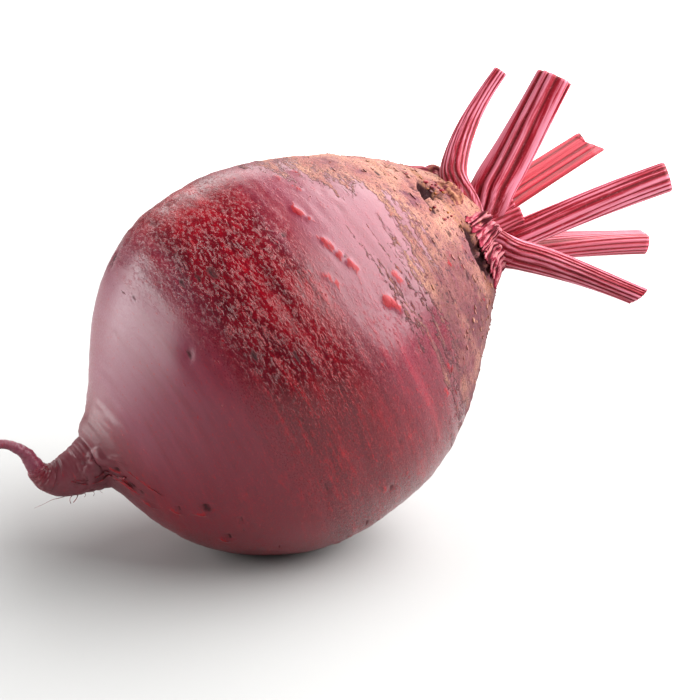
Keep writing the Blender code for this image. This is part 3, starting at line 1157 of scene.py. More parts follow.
@dataclass
class SkinRelief:
    """Heights and colour masks of the root's skin.

    The masks' zones are given by clock angles in degrees and by shares of the way from the neck to
    the crown's rim.
    """

    form: RootForm
    lump_height: float = 0.00045
    fold_height: float = 0.00020
    streak_height: float = 0.00016
    crumb_height: float = 0.00014
    wrinkle_height: float = 0.00012
    seat_height: float = 0.00030
    scatter_count: int = 230
    scatter_seed: int = 11

    def shape(self, grown: np.ndarray) -> tuple[np.ndarray, dict[Mask, np.ndarray]]:
        """Height above the smooth form and the masks, for each point.

        Args:
            grown: Places on the turned form.

        Returns:
            Heights in metres and a value for each mask.
        """
        radius = np.hypot(grown[:, 0], grown[:, 1])
        clock = np.degrees(np.arctan2(grown[:, 1], grown[:, 0]))
        station = grown[:, 2]
        crown = station / self.form.globe_length
        lumps = noise_at(grown, (0.026, 0.026, 0.020), 2, 3.1)
        folds = noise_at(grown, (0.030, 0.030, 0.0040), 3, 8.7)
        streaks = noise_at(grown, (0.014, 0.014, 0.0018), 3, 15.2)
        crumbs = noise_at(grown, (0.0030, 0.0030, 0.0016), 3, 21.4)
        seat = smooth_step(self.form.globe_length - 0.0010, self.form.globe_length + 0.0004, station)
        under = smooth_step(52, 100, np.abs(clock) + 12 * lumps)
        masks = {
            Mask.CORK: self.cork(clock, crown, streaks, lumps),
            Mask.GRAIN: self.grain(clock, crown, lumps),
            Mask.NECK: 1 - smooth_step(0.0005, 0.0075, station + 0.0012 * folds),
            Mask.DUST: self.dust_and_sheen(clock, crown, streaks),
            Mask.RUDDY: self.ruddy(clock, crown, lumps),
            Mask.UNDER: np.maximum(under, seat * smooth_step(0.0100, 0.0070, radius)),
        }
        grain, cork = masks[Mask.GRAIN], masks[Mask.CORK]
        on_globe = smooth_step(0.006, 0.022, station)
        relief = self.lump_height * lumps * on_globe
        relief += self.fold_height * folds * (0.35 + 0.65 * grain) * on_globe
        relief += self.streak_height * streaks * on_globe * (0.3 + 0.7 * np.maximum(grain, cork))
        relief += self.crumb_height * crumbs * np.maximum(0.3 * grain, np.minimum(cork, 1))
        relief += self.neck_wrinkles(grown)
        relief += self.seat_crumple(radius, clock) * seat
        marks, masks[Mask.PIT], masks[Mask.SCAR] = self.blemishes(clock, station, radius, crumbs)
        return relief + marks, masks

    def neck_wrinkles(self, grown: np.ndarray) -> np.ndarray:
        """Rings of wrinkles on both sides of the neck and along the taproot.

        Args:
            grown: Places on the turned form.

        Returns:
            Their height at each point.
        """
        station = grown[:, 2]
        wrinkles = noise_at(grown, (0.0075, 0.0075, 0.00085), 3, 5.5)
        near_neck = (1 - smooth_step(0.006, 0.013, station)) * smooth_step(-0.0060, -0.0015, station)
        return self.wrinkle_height * wrinkles * (near_neck + 1 - smooth_step(-0.0045, 0.0, station))

    def seat_crumple(self, radius: np.ndarray, clock: np.ndarray) -> np.ndarray:
        """Ring-wise crumples of the crown's plateau, which is smooth in its very middle.

        Args:
            radius: Distance from the axis.
            clock: Clock of each point.

        Returns:
            Their height at each point.
        """
        around = np.radians(clock)
        circle = np.column_stack([radius, 0.004 * np.cos(around), 0.004 * np.sin(around)])
        crumple = noise_at(circle, (0.0011, 0.0030, 0.0030), 3, 31.0)
        return self.seat_height * crumple * smooth_step(0.0, 0.002, radius)

    def blemishes(
        self, clock: np.ndarray, station: np.ndarray, radius: np.ndarray, crumbs: np.ndarray
    ) -> tuple[np.ndarray, np.ndarray, np.ndarray]:
        """Dashes, pits, scars and knobs.

        Args:
            clock: Clock of each point.
            station: Station of each point.
            radius: Distance from the axis.
            crumbs: Fine noise.

        Returns:
            Height, darkness and redness at each point.
        """
        ragged = np.clip(2.0 * crumbs, -1, 1)
        height, dark, scar = np.zeros((3, len(station)))
        known = NECK_KNOBS + RED_DASHES + CROWN_HOLES + SKIN_PITS + ROOTLET_SCARS
        for blemish in (*known, *scattered(self.scatter_count, self.scatter_seed)):
            near = blemish.near(clock, station)
            share = blemish.share(clock[near], station[near], radius[near], ragged[near])
            height[near] += blemish.height * MM * share
            dark[near] = np.maximum(dark[near], blemish.dark * share)
            scar[near] = np.maximum(scar[near], blemish.scar * share)
        return height, dark, scar

    def cork(
        self, clock: np.ndarray, crown: np.ndarray, streaks: np.ndarray, lumps: np.ndarray
    ) -> np.ndarray:
        """Cork cover: full at the crown, in patches further down, furthest along the top.

        Args:
            clock: Clock of each point.
            crown: Share of the way from the neck to the rim.
            streaks: Narrow noise along the latitudes.
            lumps: Broad noise.

        Returns:
            Cover, 0 where there is none, 0.5 at its patchy edge, up to 1.6 near the rim.
        """
        reach = 0.71 + 0.05 * lumps + 0.05 * streaks
        reach = reach + 0.09 * clock_bump(clock, 42, 24)
        reach = reach - 0.05 * clock_bump(clock, -6, 30)
        edge = smooth_step(-0.13, 0.13, crown - reach)
        return edge + 0.6 * smooth_step(0.86, 0.96, crown) * edge

    def grain(self, clock: np.ndarray, crown: np.ndarray, lumps: np.ndarray) -> np.ndarray:
        """How pitted the skin is: smooth near the tail, rough over the widest part.

        Args:
            clock: Clock of each point.
            crown: Share of the way from the neck to the rim.
            lumps: Broad noise.

        Returns:
            Grain from 0 to 1.
        """
        start = 0.29 + 0.04 * lumps - 0.06 * clock_bump(clock, 0, 35)
        rough = smooth_step(start - 0.06, start + 0.10, crown)
        rough = rough * (0.42 + 0.58 * clock_bump(clock, 50, 34))
        calm = smooth_step(0.49, 0.58, crown + 0.02 * lumps) * clock_bump(clock, 38, 48)
        return rough * (1 - 0.85 * calm)

    def dust_and_sheen(self, clock: np.ndarray, crown: np.ndarray, streaks: np.ndarray) -> np.ndarray:
        """Pale film on the crown half of the upper side and on the smooth heel: partly dry dust, partly a
        painted sheen of the soft lights' reflection.

        Args:
            clock: Clock of each point.
            crown: Share of the way from the neck to the rim.
            streaks: Narrow noise along the latitudes.

        Returns:
            Cover from 0 to 1.
        """
        upper = clock_bump(clock, 38, 60) * smooth_step(0.50, 0.64, crown + 0.03 * streaks)
        # painted sheen on the smooth heel, where the left light reflects
        satin = clock_bump(clock, 12, 62) * smooth_step(0.38, 0.20, crown + 0.02 * streaks)
        return np.clip(0.6 * upper + 0.95 * satin * smooth_step(0.02, 0.10, crown), 0, 1)

    def ruddy(self, clock: np.ndarray, crown: np.ndarray, lumps: np.ndarray) -> np.ndarray:
        """Redder skin along the top.

        Args:
            clock: Clock of each point.
            crown: Share of the way from the neck to the rim.
            lumps: Broad noise.

        Returns:
            Share from 0 to 1.
        """
        top = 0.9 * clock_bump(clock, 2, 32) * bump_at(crown + 0.05 * lumps, 0.42, 0.17)
        low = 0.5 * clock_bump(clock, 56, 22) * bump_at(crown, 0.46, 0.10)
        return np.clip(top + low, 0, 1)


@dataclass
class ThinTaproot:
    """Thin curled end of the taproot, from inside the neck to the tip."""

    around: int = 56
    rings: int = 150
    ring_crowding: float = 0.9
    start: float = -0.0088
    tip_round: float = 0.0002
    seam_length: float = 0.0008
    knot_height: float = 0.12
    ring_height: float = 0.07
    grain: float = 0.35
    form: RootForm = field(default_factory=RootForm)

    def profile(self) -> list[tuple[float, float]]:
        """Rings of the thin root, from its tip to inside the neck, where it is as wide as the neck.

        Returns:
            Radius and station of each ring.
        """
        stations, _, radii = self.form.route()
        shares = np.linspace(0, 1, self.rings) ** self.ring_crowding
        rows = [(0.0, float(stations[0]) - self.tip_round)]
        for place in stations[0] + (self.start - stations[0]) * shares:
            inside = smooth_step(self.start - self.seam_length, self.start, np.array(place))
            seam = 0.80 + 0.24 * (1 - inside)
            rows.append((float(np.interp(place, stations, radii) * seam), float(place)))
        return rows + [(0.0, self.start + self.tip_round / 2)]

    def build(self, skin: bpy.types.Material) -> bpy.types.Object:
        """Turns, lays and paints the thin root.

        Args:
            skin: The skin's material.

        Returns:
            The finished piece.
        """
        obj = turned_tube("thin_taproot", self.profile(), self.around)
        grown = points_of(obj)
        place_points(obj, self.form.lay(grown))
        laid, out = points_of(obj), normals_of(obj)
        knots = noise_at(grown, (0.0020, 0.0020, 0.0012), 3, 4.2)
        rings = noise_at(grown, (0.0060, 0.0060, 0.00045), 2, 7.7)
        radius = np.hypot(grown[:, 0], grown[:, 1])
        height = radius * (self.knot_height * knots + self.ring_height * rings)
        place_points(obj, laid + out * height[:, None])
        masks = {
            Mask.NECK: 0.9 * smooth_step(-0.0128, -0.0100, grown[:, 2]),
            Mask.GRAIN: np.full(len(grown), self.grain),
            Mask.DUST: 0.75 * smooth_step(-0.0115, -0.0150, grown[:, 2]),
        }
        paint_skin(obj, grown, masks)
        dress(obj, skin, Slot.SKIN)
        return obj


# ----------------------------------------------------------------------------------------------
# Leaf stalks
# ----------------------------------------------------------------------------------------------


@dataclass(frozen=True)
class Spot:
    """A point over the crown: clock angle in degrees, radius, height."""

    clock: float
    radius: float
    height: float = 0.0


@dataclass(frozen=True)
class Section:
    """A stalk's cross-section: its place, its directions, its sizes and how far it wraps the crown."""

    middle: np.ndarray
    heading: np.ndarray
    side: np.ndarray
    face: np.ndarray
    width: float
    thickness: float
    wrap: float


@dataclass(frozen=True)
class LeafStalk:
    """A cut leaf stalk: where it starts, bends and ends, its ribs and its cut.

    Widths and thicknesses are those at the foot, past the knee and at the cut end.
    """

    name: str
    foot: Spot
    knee: Spot
    tip: Spot
    widths: tuple[float, float, float]
    thicknesses: tuple[float, float, float]
    ribs: int = 17
    rib_depth: float = 0.00030
    pale: float = 0.9
    slant: float = 0.0
    seed: float = 1.0
    channel: float = 0.30
    sink: float = 0.003
    around: int = 168
    rings: int = 84
    ring_crowding: float = 1.15
    knee_share: float = 0.34
    tip_start: float = 0.30
    wrap_share: float = 0.40
    cut_insets: tuple[float, ...] = (0.10, 0.25, 0.25)
    cut_hollow: float = 0.0006
    in_model: bool = True

    def three_way(self, values: tuple[float, float, float], share: float) -> float:
        """Value at a share of the stalk's length.

        Args:
            values: Values at the foot, past the knee and at the end.
            share: Share of the length.

        Returns:
            The value.
        """
        first, second, third = values
        knee = float(smooth_step(0, self.knee_share, share))
        end = float(smooth_step(self.tip_start, 1.0, share))
        return first + (second - first) * knee + (third - second) * end

    def section(self, share: float) -> Section:
        """Cross-section at a share of the stalk's length.

        Args:
            share: Share of the length.

        Returns:
            The section.
        """
        foot = FORM.crown_place(self.foot.clock, self.foot.radius, -self.sink)
        knee = FORM.crown_place(self.knee.clock, self.knee.radius, self.knee.height)
        tip = FORM.crown_place(self.tip.clock, self.tip.radius, self.tip.height)
        middle = foot * (1 - share) ** 2 + knee * 2 * share * (1 - share) + tip * share**2
        heading = (knee - foot) * (1 - share) + (tip - knee) * share
        heading /= np.linalg.norm(heading)
        last = self.tip.clock - 360 if abs(self.tip.clock - self.knee.clock) > 180 else self.tip.clock
        out = FORM.crown_way(self.three_way((self.foot.clock, self.knee.clock, last), share))
        side = np.cross(heading, out)
        side /= np.linalg.norm(side)
        wrap = (1 - float(smooth_step(0, self.wrap_share, share))) / (2 * self.foot.radius)
        width, thickness = self.three_way(self.widths, share), self.three_way(self.thicknesses, share)
        return Section(middle, heading, side, np.cross(side, heading), width, thickness, wrap)

    def rib_wave(self, angles: np.ndarray) -> np.ndarray:
        """Height of the ribs round the stalk.

        Args:
            angles: Angles round the stalk, in radians.

        Returns:
            0 in a groove and up to 1 on a crest.
        """
        drift = [noise.noise((math.cos(a) * 1.3, math.sin(a) * 1.3, self.seed * 7.7)) for a in angles]
        tall = [noise.noise((math.cos(a) * 2.1, math.sin(a) * 2.1, self.seed * 3.3)) for a in angles]
        wave = np.abs(np.sin(angles * self.ribs / 2 + 2.2 * np.array(drift)))
        return np.clip(wave**0.8 * (0.80 + 0.45 * np.array(tall)), 0, 1)

    def extruded(self) -> bpy.types.Object:
        """Extrudes a circle ring by ring and insets its cut end.

        Returns:
            A straight prism, one unit long for each ring.
        """
        start_clean()
        bpy.ops.mesh.primitive_circle_add(vertices=self.around, radius=1, fill_type="NGON")
        obj = bpy.context.object
        obj.name = self.name
        bpy.ops.object.mode_set(mode="EDIT")
        for _ in range(self.rings):
            bpy.ops.mesh.extrude_region_move(TRANSFORM_OT_translate={"value": (0, 0, 1)})
        for thickness in self.cut_insets:
            bpy.ops.mesh.inset(thickness=thickness)
        bpy.ops.object.mode_set(mode="OBJECT")
        return obj

    def lay(
        self, turned: np.ndarray, angles: np.ndarray, wave: np.ndarray
    ) -> tuple[np.ndarray, np.ndarray]:
        """Lays each ring of the prism over its section of the stalk.

        Args:
            turned: Points of the prism.
            angles: Their angles round it.
            wave: Height of the ribs at each point.

        Returns:
            Their places in the row frame, and in a straight stalk for the material.
        """
        levels = np.round(turned[:, 2]).astype(int)
        reach = np.hypot(turned[:, 0], turned[:, 1])
        laid, grown = np.zeros_like(turned), np.zeros_like(turned)
        for ring in range(self.rings + 1):
            chosen = np.where(levels == ring)[0]
            share = (ring / self.rings) ** self.ring_crowding
            at = self.section(share)
            angle, size = angles[chosen], reach[chosen]
            depth = self.rib_depth * (wave[chosen] - 0.5)
            depth = depth * (0.55 + 0.45 * float(smooth_step(0.0, 0.25, share)))
            across = np.cos(angle) * (at.width / 2 + depth) * size
            deep = np.sin(angle) * (at.thickness / 2 + depth) * size
            groove = np.where(deep < 0, self.channel * at.thickness * np.sin(angle) ** 2 * size, 0)
            deep = deep + groove - at.wrap * across**2
            rows = at.middle + np.outer(across, at.side) + np.outer(deep, at.face)
            if ring == self.rings:
                rows += np.outer(2 * self.slant * across, at.heading)
                rows -= np.outer(self.cut_hollow * (1 - size) * (size < 0.95), at.heading)
            laid[chosen] = rows
            grown[chosen] = np.column_stack([across, deep, np.full(len(chosen), share * 0.04)])
        return laid, grown

    def build(self, skin: bpy.types.Material, flesh: bpy.types.Material) -> bpy.types.Object:
        """Extrudes, lays and paints the stalk and gives its cut end its own material.

        Args:
            skin: The stalk's outside.
            flesh: The cut end.

        Returns:
            The finished piece.
        """
        obj = self.extruded()
        turned = points_of(obj)
        angles = np.arctan2(turned[:, 1], turned[:, 0])
        wave = self.rib_wave(angles)
        laid, grown = self.lay(turned, angles, wave)
        place_points(obj, laid)
        face_out(obj)
        self.paint_stalk(obj, wave, turned[:, 2] / self.rings, grown)
        obj.data.materials.append(skin)
        obj.data.materials.append(flesh)
        for polygon in obj.data.polygons:
            if min(turned[k][2] for k in polygon.vertices) > self.rings - 0.5:
                polygon.material_index = 1
        dress(obj, skin, Slot.STALK, *([self.name] if self.in_model else []))
        return obj

    def paint_stalk(
        self, obj: bpy.types.Object, wave: np.ndarray, share: np.ndarray, grown: np.ndarray
    ) -> None:
        """Writes the masks of the stalk's skin, with painted shade inside near the foot.

        Args:
            obj: The stalk.
            wave: Height of the ribs at each point.
            share: Share of the length at each point.
            grown: Places in a straight stalk.
        """
        near = 1 - smooth_step(0.05, 0.42, share)
        inner = smooth_step(-0.2, -0.9, np.sin(np.arctan2(grown[:, 1], grown[:, 0])))
        paint(obj, GROWN, grown + self.seed)
        paint(obj, Mask.RIB.value, wave)
        # painted shade, inside and near the foot
        paint(obj, Mask.DARK.value, np.clip(0.75 * near * (0.35 + 0.65 * inner), 0, 1))
        paint(obj, Mask.PALE.value, np.full(len(wave), self.pale))


STALKS = (
    LeafStalk(
        "leaf_stalk_1",
        foot=Spot(46.0, 0.0098),
        knee=Spot(-6.0, 0.0158, 0.0002),
        tip=Spot(-6.0, 0.0238, 0.0196),
        widths=(0.0122, 0.0062, 0.0034),
        thicknesses=(0.0024, 0.0054, 0.0033),
        rib_depth=0.00026,
        seed=1.0,
        sink=0.0052,
    ),
    LeafStalk(
        "leaf_stalk_2",
        foot=Spot(72.0, 0.0044),
        knee=Spot(24.0, 0.0076, 0.0096),
        tip=Spot(4.0, 0.0178, 0.0284),
        widths=(0.0084, 0.0092, 0.0088),
        thicknesses=(0.0034, 0.0066, 0.0066),
        ribs=10,
        rib_depth=0.00085,
        pale=0.8,
        seed=2.0,
    ),
    LeafStalk(
        "leaf_stalk_3",
        foot=Spot(-108.0, 0.0040),
        knee=Spot(-110.0, 0.0052, 0.0090),
        tip=Spot(-113.0, 0.0100, 0.0334),
        widths=(0.0062, 0.0064, 0.0060),
        thicknesses=(0.0030, 0.0054, 0.0052),
        ribs=9,
        rib_depth=0.00036,
        pale=0.06,
        slant=-0.45,
        seed=3.0,
    ),
    LeafStalk(
        "leaf_stalk_4",
        foot=Spot(176.0, 0.0053),
        knee=Spot(152.0, 0.0064, 0.0094),
        tip=Spot(130.0, 0.0148, 0.0386),
        widths=(0.0068, 0.0078, 0.0072),
        thicknesses=(0.0034, 0.0082, 0.0072),
        ribs=19,
        rib_depth=0.00034,
        seed=4.0,
    ),
    LeafStalk(
        "leaf_stalk_5",
        foot=Spot(-154.0, 0.0086),
        knee=Spot(-167.0, 0.0112, 0.0074),
        tip=Spot(174.0, 0.0244, 0.0322),
        widths=(0.0074, 0.0068, 0.0064),
        thicknesses=(0.0028, 0.0068, 0.0064),
        ribs=18,
        rib_depth=0.00032,
        pale=0.5,
        seed=5.0,
    ),
    LeafStalk(
        "leaf_stalk_6",
        foot=Spot(108.0, 0.0096),
        knee=Spot(115.0, 0.0150, 0.0042),
        tip=Spot(125.5, 0.0346, 0.0156),
        widths=(0.0104, 0.0066, 0.0046),
        thicknesses=(0.0028, 0.0054, 0.0040),
        ribs=18,
        rib_depth=0.00034,
        slant=-0.35,
        seed=6.0,
    ),
)


def heart_stub(number: int, clock: float, radius: float, height: float, width: float) -> LeafStalk:
    """A small young stalk, cut short, in the middle of the crown.

    Args:
        number: Number of the stub.
        clock: Clock angle of its foot.
        radius: Distance of its foot from the crown's middle.
        height: How far it stands up.
        width: Its width halfway.

    Returns:
        The stub, which leans outwards.
    """
    return LeafStalk(
        f"heart_stub_{number}",
        foot=Spot(clock, radius),
        knee=Spot(clock, radius * 1.15, height * 0.5),
        tip=Spot(clock, radius * 1.4, height),
        widths=(width * 1.1, width, width * 0.9),
        thicknesses=(width * 0.6, width * 0.6, width * 0.55),
        ribs=9,
        rib_depth=0.00016,
        pale=0.5,
        seed=10.0 + number,
        around=64,
        rings=20,
        in_model=False,
    )


HEART_STUBS = (
    heart_stub(1, clock=20.0, radius=0.0026, height=0.0050, width=0.0026),
    heart_stub(2, clock=140.0, radius=0.0022, height=0.0062, width=0.0022),
    heart_stub(3, clock=-60.0, radius=0.0034, height=0.0042, width=0.0028),
    heart_stub(4, clock=-20.0, radius=0.0058, height=0.0028, width=0.0034),
    heart_stub(5, clock=-62.0, radius=0.0076, height=0.0030, width=0.0036),
    heart_stub(6, clock=-140.0, radius=0.0060, height=0.0024, width=0.0030),
    heart_stub(7, clock=104.0, radius=0.0048, height=0.0080, width=0.0044),
    heart_stub(8, clock=150.0, radius=0.0040, height=0.0078, width=0.0038),
    heart_stub(9, clock=84.0, radius=0.0016, height=0.0088, width=0.0034),
)


# ----------------------------------------------------------------------------------------------
# Torn leaf bases
# ----------------------------------------------------------------------------------------------


@dataclass(frozen=True)
class TornFields:
    """Noise and ribs of a torn base, one value for each point of its grid."""

    ribs: np.ndarray
    ends: np.ndarray
    torn: np.ndarray
    hollow: np.ndarray
    lumps: np.ndarray


@dataclass(frozen=True)
class TornBase:
    """What is left of a leaf that was torn off: a ragged, ribbed collar on the shoulder.

    It runs up the shoulder over its skirt, and then rolls over the rim by its curl, in degrees.
    """

    name: str
    clock: float
    drop: float
    width: float
    height: float
    skirt: float = 0.0034
    ribs: float = 5.0
    bold: float = 1.0
    dry: float = 0.15
    columns: int = 96
    rows: int = 34
    wall: float = 0.00034
    skirt_share: float = 0.4
    curl: float = 118.0

    def fields(self, across: np.ndarray, rise: np.ndarray) -> TornFields:
        """Ribs, tears and hollows of the tissue.

        Args:
            across: Place across the base, -1 to 1.
            rise: Place up the base, 0 to 1.

        Returns:
            The fields.
        """
        own = np.full(len(across), self.clock)
        seeds = np.column_stack([across * 1.6, rise * 0.7, own])
        ragged = noise_at(seeds, (1.0, 1.0, 1.0), 4, 2.0)
        lumps = noise_at(seeds, (0.5, 0.5, 1.0), 3, 9.0)
        swing = across * self.ribs + 2.4 * ragged + 0.9 * rise
        ribs = (0.5 + 0.5 * np.cos(swing * math.pi)) ** 1.4
        ends = smooth_step(1.0, 0.6, np.abs(across + 0.1 * lumps))
        tear = np.column_stack([across * 1.6, 0 * rise, own])
        torn = noise_at(tear, (0.35, 1.0, 1.0), 4, 4.0)
        gaps = smooth_step(0.35, 0.75, noise_at(tear, (0.30, 1.0, 1.0), 2, 14.0))
        return TornFields(ribs, ends, torn, gaps * bump_at(rise, 0.42, 0.16), lumps)

    def build(self, tissue: bpy.types.Material) -> bpy.types.Object:
        """Lays a grid up the shoulder and past the rim, and gives it thickness.

        Args:
            tissue: The torn tissue's material.

        Returns:
            The finished piece.
        """
        start_clean()
        bpy.ops.mesh.primitive_grid_add(x_subdivisions=self.columns, y_subdivisions=self.rows, size=2)
        obj = bpy.context.object
        obj.name = self.name
        flat = points_of(obj)
        across, rise = flat[:, 0], (flat[:, 1] + 1) / 2
        tissue_fields = self.fields(across, rise)
        over = np.clip((rise - self.skirt_share) / (1 - self.skirt_share), 0, 1)
        lift = self.lift(rise, tissue_fields)
        place_points(obj, self.lay(across, rise, over, lift, tissue_fields.torn, tissue_fields.ends))
        self.paint_base(obj, across, rise, over, lift, tissue_fields)
        wall = obj.modifiers.new("wall", "SOLIDIFY")
        wall.thickness = self.wall
        wall.offset = -1.0
        bpy.ops.object.modifier_apply(modifier=wall.name)
        dress(obj, tissue, Slot.TORN, self.name)
        return obj

    def lift(self, rise: np.ndarray, at: TornFields) -> np.ndarray:
        """How far the tissue stands off the shoulder.

        Args:
            rise: Place up the base, 0 to 1.
            at: The tissue's fields.

        Returns:
            The height of each point, in metres.
        """
        body = -0.45 + 1.15 * smooth_step(0.0, 0.35, rise) * at.ends
        body = body + 0.55 * self.bold * at.ribs * at.ends + 0.30 * at.lumps
        return MM * body - 1.3 * self.bold * MM * at.hollow

    def lay(
        self,
        across: np.ndarray,
        rise: np.ndarray,
        over: np.ndarray,
        lift: np.ndarray,
        torn: np.ndarray,
        ends: np.ndarray,
    ) -> np.ndarray:
        """Lays the grid up the shoulder and rolls it over the rim.

        Args:
            across: Place across the base, -1 to 1.
            rise: Place up the base, 0 to 1.
            over: Share of the roll, 0 on the skirt.
            lift: How far each point stands off the shoulder.
            torn: Noise of the torn edge.
            ends: 1 in the middle, 0 at the base's two ends.

        Returns:
            Places in the row frame.
        """
        rim = FORM.globe_length - self.drop
        low = rim - self.skirt * (1 + 0.35 * torn)
        station = low + (rim - low) * np.clip(rise / self.skirt_share, 0, 1)
        top = self.height * (0.85 + 0.45 * torn) * (0.4 + 0.6 * ends)
        turn = over * math.radians(self.curl)
        roll = 0.55 * MM + 0.45 * top
        radius = FORM.globe_radius(station) + lift - roll * (1 - np.cos(turn))
        height = station - FORM.globe_length - FORM.plateau_rise + top * np.sin(turn) ** 0.8
        half = self.width / 2 / float(FORM.globe_radius(np.array(rim)))
        clocks = self.clock + np.degrees(half * across * (1 - 0.12 * over))
        rows = zip(clocks.tolist(), radius.tolist(), height.tolist())
        return np.array([FORM.crown_place(c, r, h) for c, r, h in rows])

    def paint_base(
        self,
        obj: bpy.types.Object,
        across: np.ndarray,
        rise: np.ndarray,
        over: np.ndarray,
        lift: np.ndarray,
        at: TornFields,
    ) -> None:
        """Writes the masks of the torn tissue, with painted shade between its ribs and in its hollows.

        Args:
            obj: The base.
            across: Place across the base, -1 to 1.
            rise: Place up the base, 0 to 1.
            over: Share of the roll, 0 on the skirt.
            lift: How far each point stands off the shoulder.
            at: The tissue's fields.
        """
        rib = at.ribs * (0.45 + 0.5 * rise) + 0.15 * over
        # painted shade: darkest between the ribs and in the hollows, lighter on the roll over the rim
        dark = self.bold * np.clip(1.15 - 2.4 * at.ribs, 0, 1) * (1 - 0.35 * over) + at.hollow
        place = np.column_stack([across * self.width / 2, lift, rise * 0.007])
        paint(obj, GROWN, place + self.clock / 360)
        paint(obj, Mask.RIB.value, np.clip(rib, 0, 1))
        paint(obj, Mask.DARK.value, dark)
        paint(obj, Mask.CORK.value, np.full(len(across), self.dry))


TORN_BASES = (
    TornBase("torn_leaf_base_1", clock=76.0, drop=0.0012, width=0.0078, height=0.0030),
    TornBase("torn_leaf_base_2", clock=110.0, drop=0.0016, width=0.0092, height=0.0022),
    TornBase("torn_leaf_base_3", 34.0, 0.0030, 0.0070, 0.0018, skirt=0.0016, bold=0.2, dry=1.0),
    TornBase("torn_leaf_base_4", -22.0, 0.0020, 0.0086, 0.0026, bold=0.8, dry=0.3),
    TornBase("torn_leaf_base_5", -74.0, 0.0012, 0.0090, 0.0034, bold=0.8, dry=0.5),
    TornBase("torn_leaf_base_6", -124.0, 0.0016, 0.0082, 0.0030, bold=0.7, dry=0.6),
    TornBase("torn_leaf_base_7", -172.0, 0.0012, 0.0088, 0.0030, bold=0.8, dry=0.4),
)


# ----------------------------------------------------------------------------------------------
# Small pieces on the skin
# ----------------------------------------------------------------------------------------------


def on_root(station: float, clock: float, lift: float) -> np.ndarray:
    """Place on the smooth root.

    Args:
        station: Place along the axis, in millimetres.
        clock: Angle round it, in degrees.
        lift: Height above the surface, in millimetres.

    Returns:
        The place in the row frame.
    """
    stations, _, radii = FORM.route()
    place, angle = station * MM, math.radians(clock)
    radius = float(FORM.globe_radius(np.array(place)) if place > 0 else np.interp(place, stations, radii))
    radius += lift * MM
    return FORM.lay(np.array([[radius * math.cos(angle), radius * math.sin(angle), place]]))[0]


@dataclass(frozen=True)
class Thread:
    """A rootlet: its spots on the root as (station, clock, lift), and its thickness in millimetres."""

    spots: tuple[tuple[float, float, float], ...]
    thick: float
    steps: int = 9

    def points(self) -> list[np.ndarray]:
        """Reads a smooth curve through the spots.

        Returns:
            Its points in the row frame.
        """
        spots = np.array(self.spots)
        last = len(spots) - 1
        found = []
        for share in np.linspace(0, last, self.steps * last + 1):
            step = min(int(share), last - 1)
            near = [spots[min(max(step + k, 0), last)] for k in (-1, 0, 1, 2)]
            found.append(on_root(*curve_point(near, share - step)))
        return found

    def drawn(self) -> bpy.types.Object:
        """Draws the thread as a curve that thins towards its end.

        Returns:
            The curve.
        """
        curve = bpy.data.curves.new("thread", "CURVE")
        curve.dimensions = "3D"
        curve.bevel_depth = 1.0
        curve.bevel_resolution = 2
        curve.use_fill_caps = True
        points = self.points()
        spline = curve.splines.new("POLY")
        spline.points.add(len(points) - 1)
        for place, (point, target) in enumerate(zip(points, spline.points)):
            share = place / (len(points) - 1)
            target.co = (*point, 1.0)
            target.radius = self.thick * MM / 2 * (1 - 0.65 * share) * (1 + 0.25 * math.sin(9 * share))
        obj = bpy.data.objects.new("thread", curve)
        bpy.context.scene.collection.objects.link(obj)
        return obj


@dataclass(frozen=True)
class Rootlets:
    """Red threads and hairs round the neck and along the heel."""

    threads: tuple[Thread, ...] = (
        Thread(((3.2, 74.0, 0.1), (4.4, 84.0, 0.15), (6.2, 94.0, 0.1)), 0.20),
        Thread(((0.6, 96.0, 0.2), (-1.8, 102.0, 0.9), (-4.4, 100.0, 0.6), (-6.4, 86.0, 0.1)), 0.34),
        Thread(((0.4, 88.0, 0.5), (-2.0, 92.0, 0.8), (-4.2, 92.0, 0.7), (-5.8, 84.0, 0.1)), 0.26),
        Thread(((2.4, 86.0, 0.2), (1.2, 92.0, 0.8), (0.0, 88.0, 0.7), (-1.0, 96.0, 0.3)), 0.36),
        Thread(((2.8, 102.0, 0.1), (1.6, 96.0, 0.9), (0.6, 104.0, 0.5)), 0.30),
        Thread(((-7.0, 176.0, 0.0), (-8.6, 178.0, 0.9), (-9.8, 170.0, 2.6), (-10.6, 160.0, 4.0)), 0.12),
        Thread(((-6.0, 182.0, 0.0), (-6.8, 180.0, 0.9), (-6.9, 176.0, 1.9)), 0.22),
        Thread(((-5.4, 178.0, 0.0), (-5.8, 176.0, 0.8), (-6.6, 172.0, 1.6)), 0.30),
        Thread(((-4.4, 176.0, 0.0), (-4.2, 178.0, 0.8), (-4.6, 182.0, 1.4)), 0.16),
        Thread(((-3.2, 172.0, 0.0), (-3.0, 174.0, 0.7), (-3.3, 178.0, 1.5)), 0.14),
        Thread(((-2.0, 168.0, 0.0), (-2.0, 171.0, 0.6), (-1.8, 176.0, 1.2)), 0.12),
        Thread(((0.8, -92.0, 0.1), (-1.6, -96.0, 0.8), (-4.0, -90.0, 0.5), (-6.0, -82.0, 0.0)), 0.30),
        Thread(((3.8, -98.0, 0.1), (5.4, -108.0, 0.3), (7.6, -112.0, 0.1)), 0.24),
        Thread(((-12.0, 40.0, 0.0), (-12.2, 50.0, 0.5), (-12.6, 60.0, 1.1)), 0.12),
        Thread(((-15.0, -60.0, 0.0), (-15.4, -64.0, 0.5), (-15.2, -70.0, 1.3)), 0.10),
    )

    def build(self, red: bpy.types.Material) -> bpy.types.Object:
        """Draws the threads and joins them.

        Args:
            red: Material of the threads.

        Returns:
            The finished piece.
        """
        obj = join_all([thread.drawn() for thread in self.threads], "rootlets")
        face_out(obj)
        dress(obj, red, Slot.SKIN)
        return obj


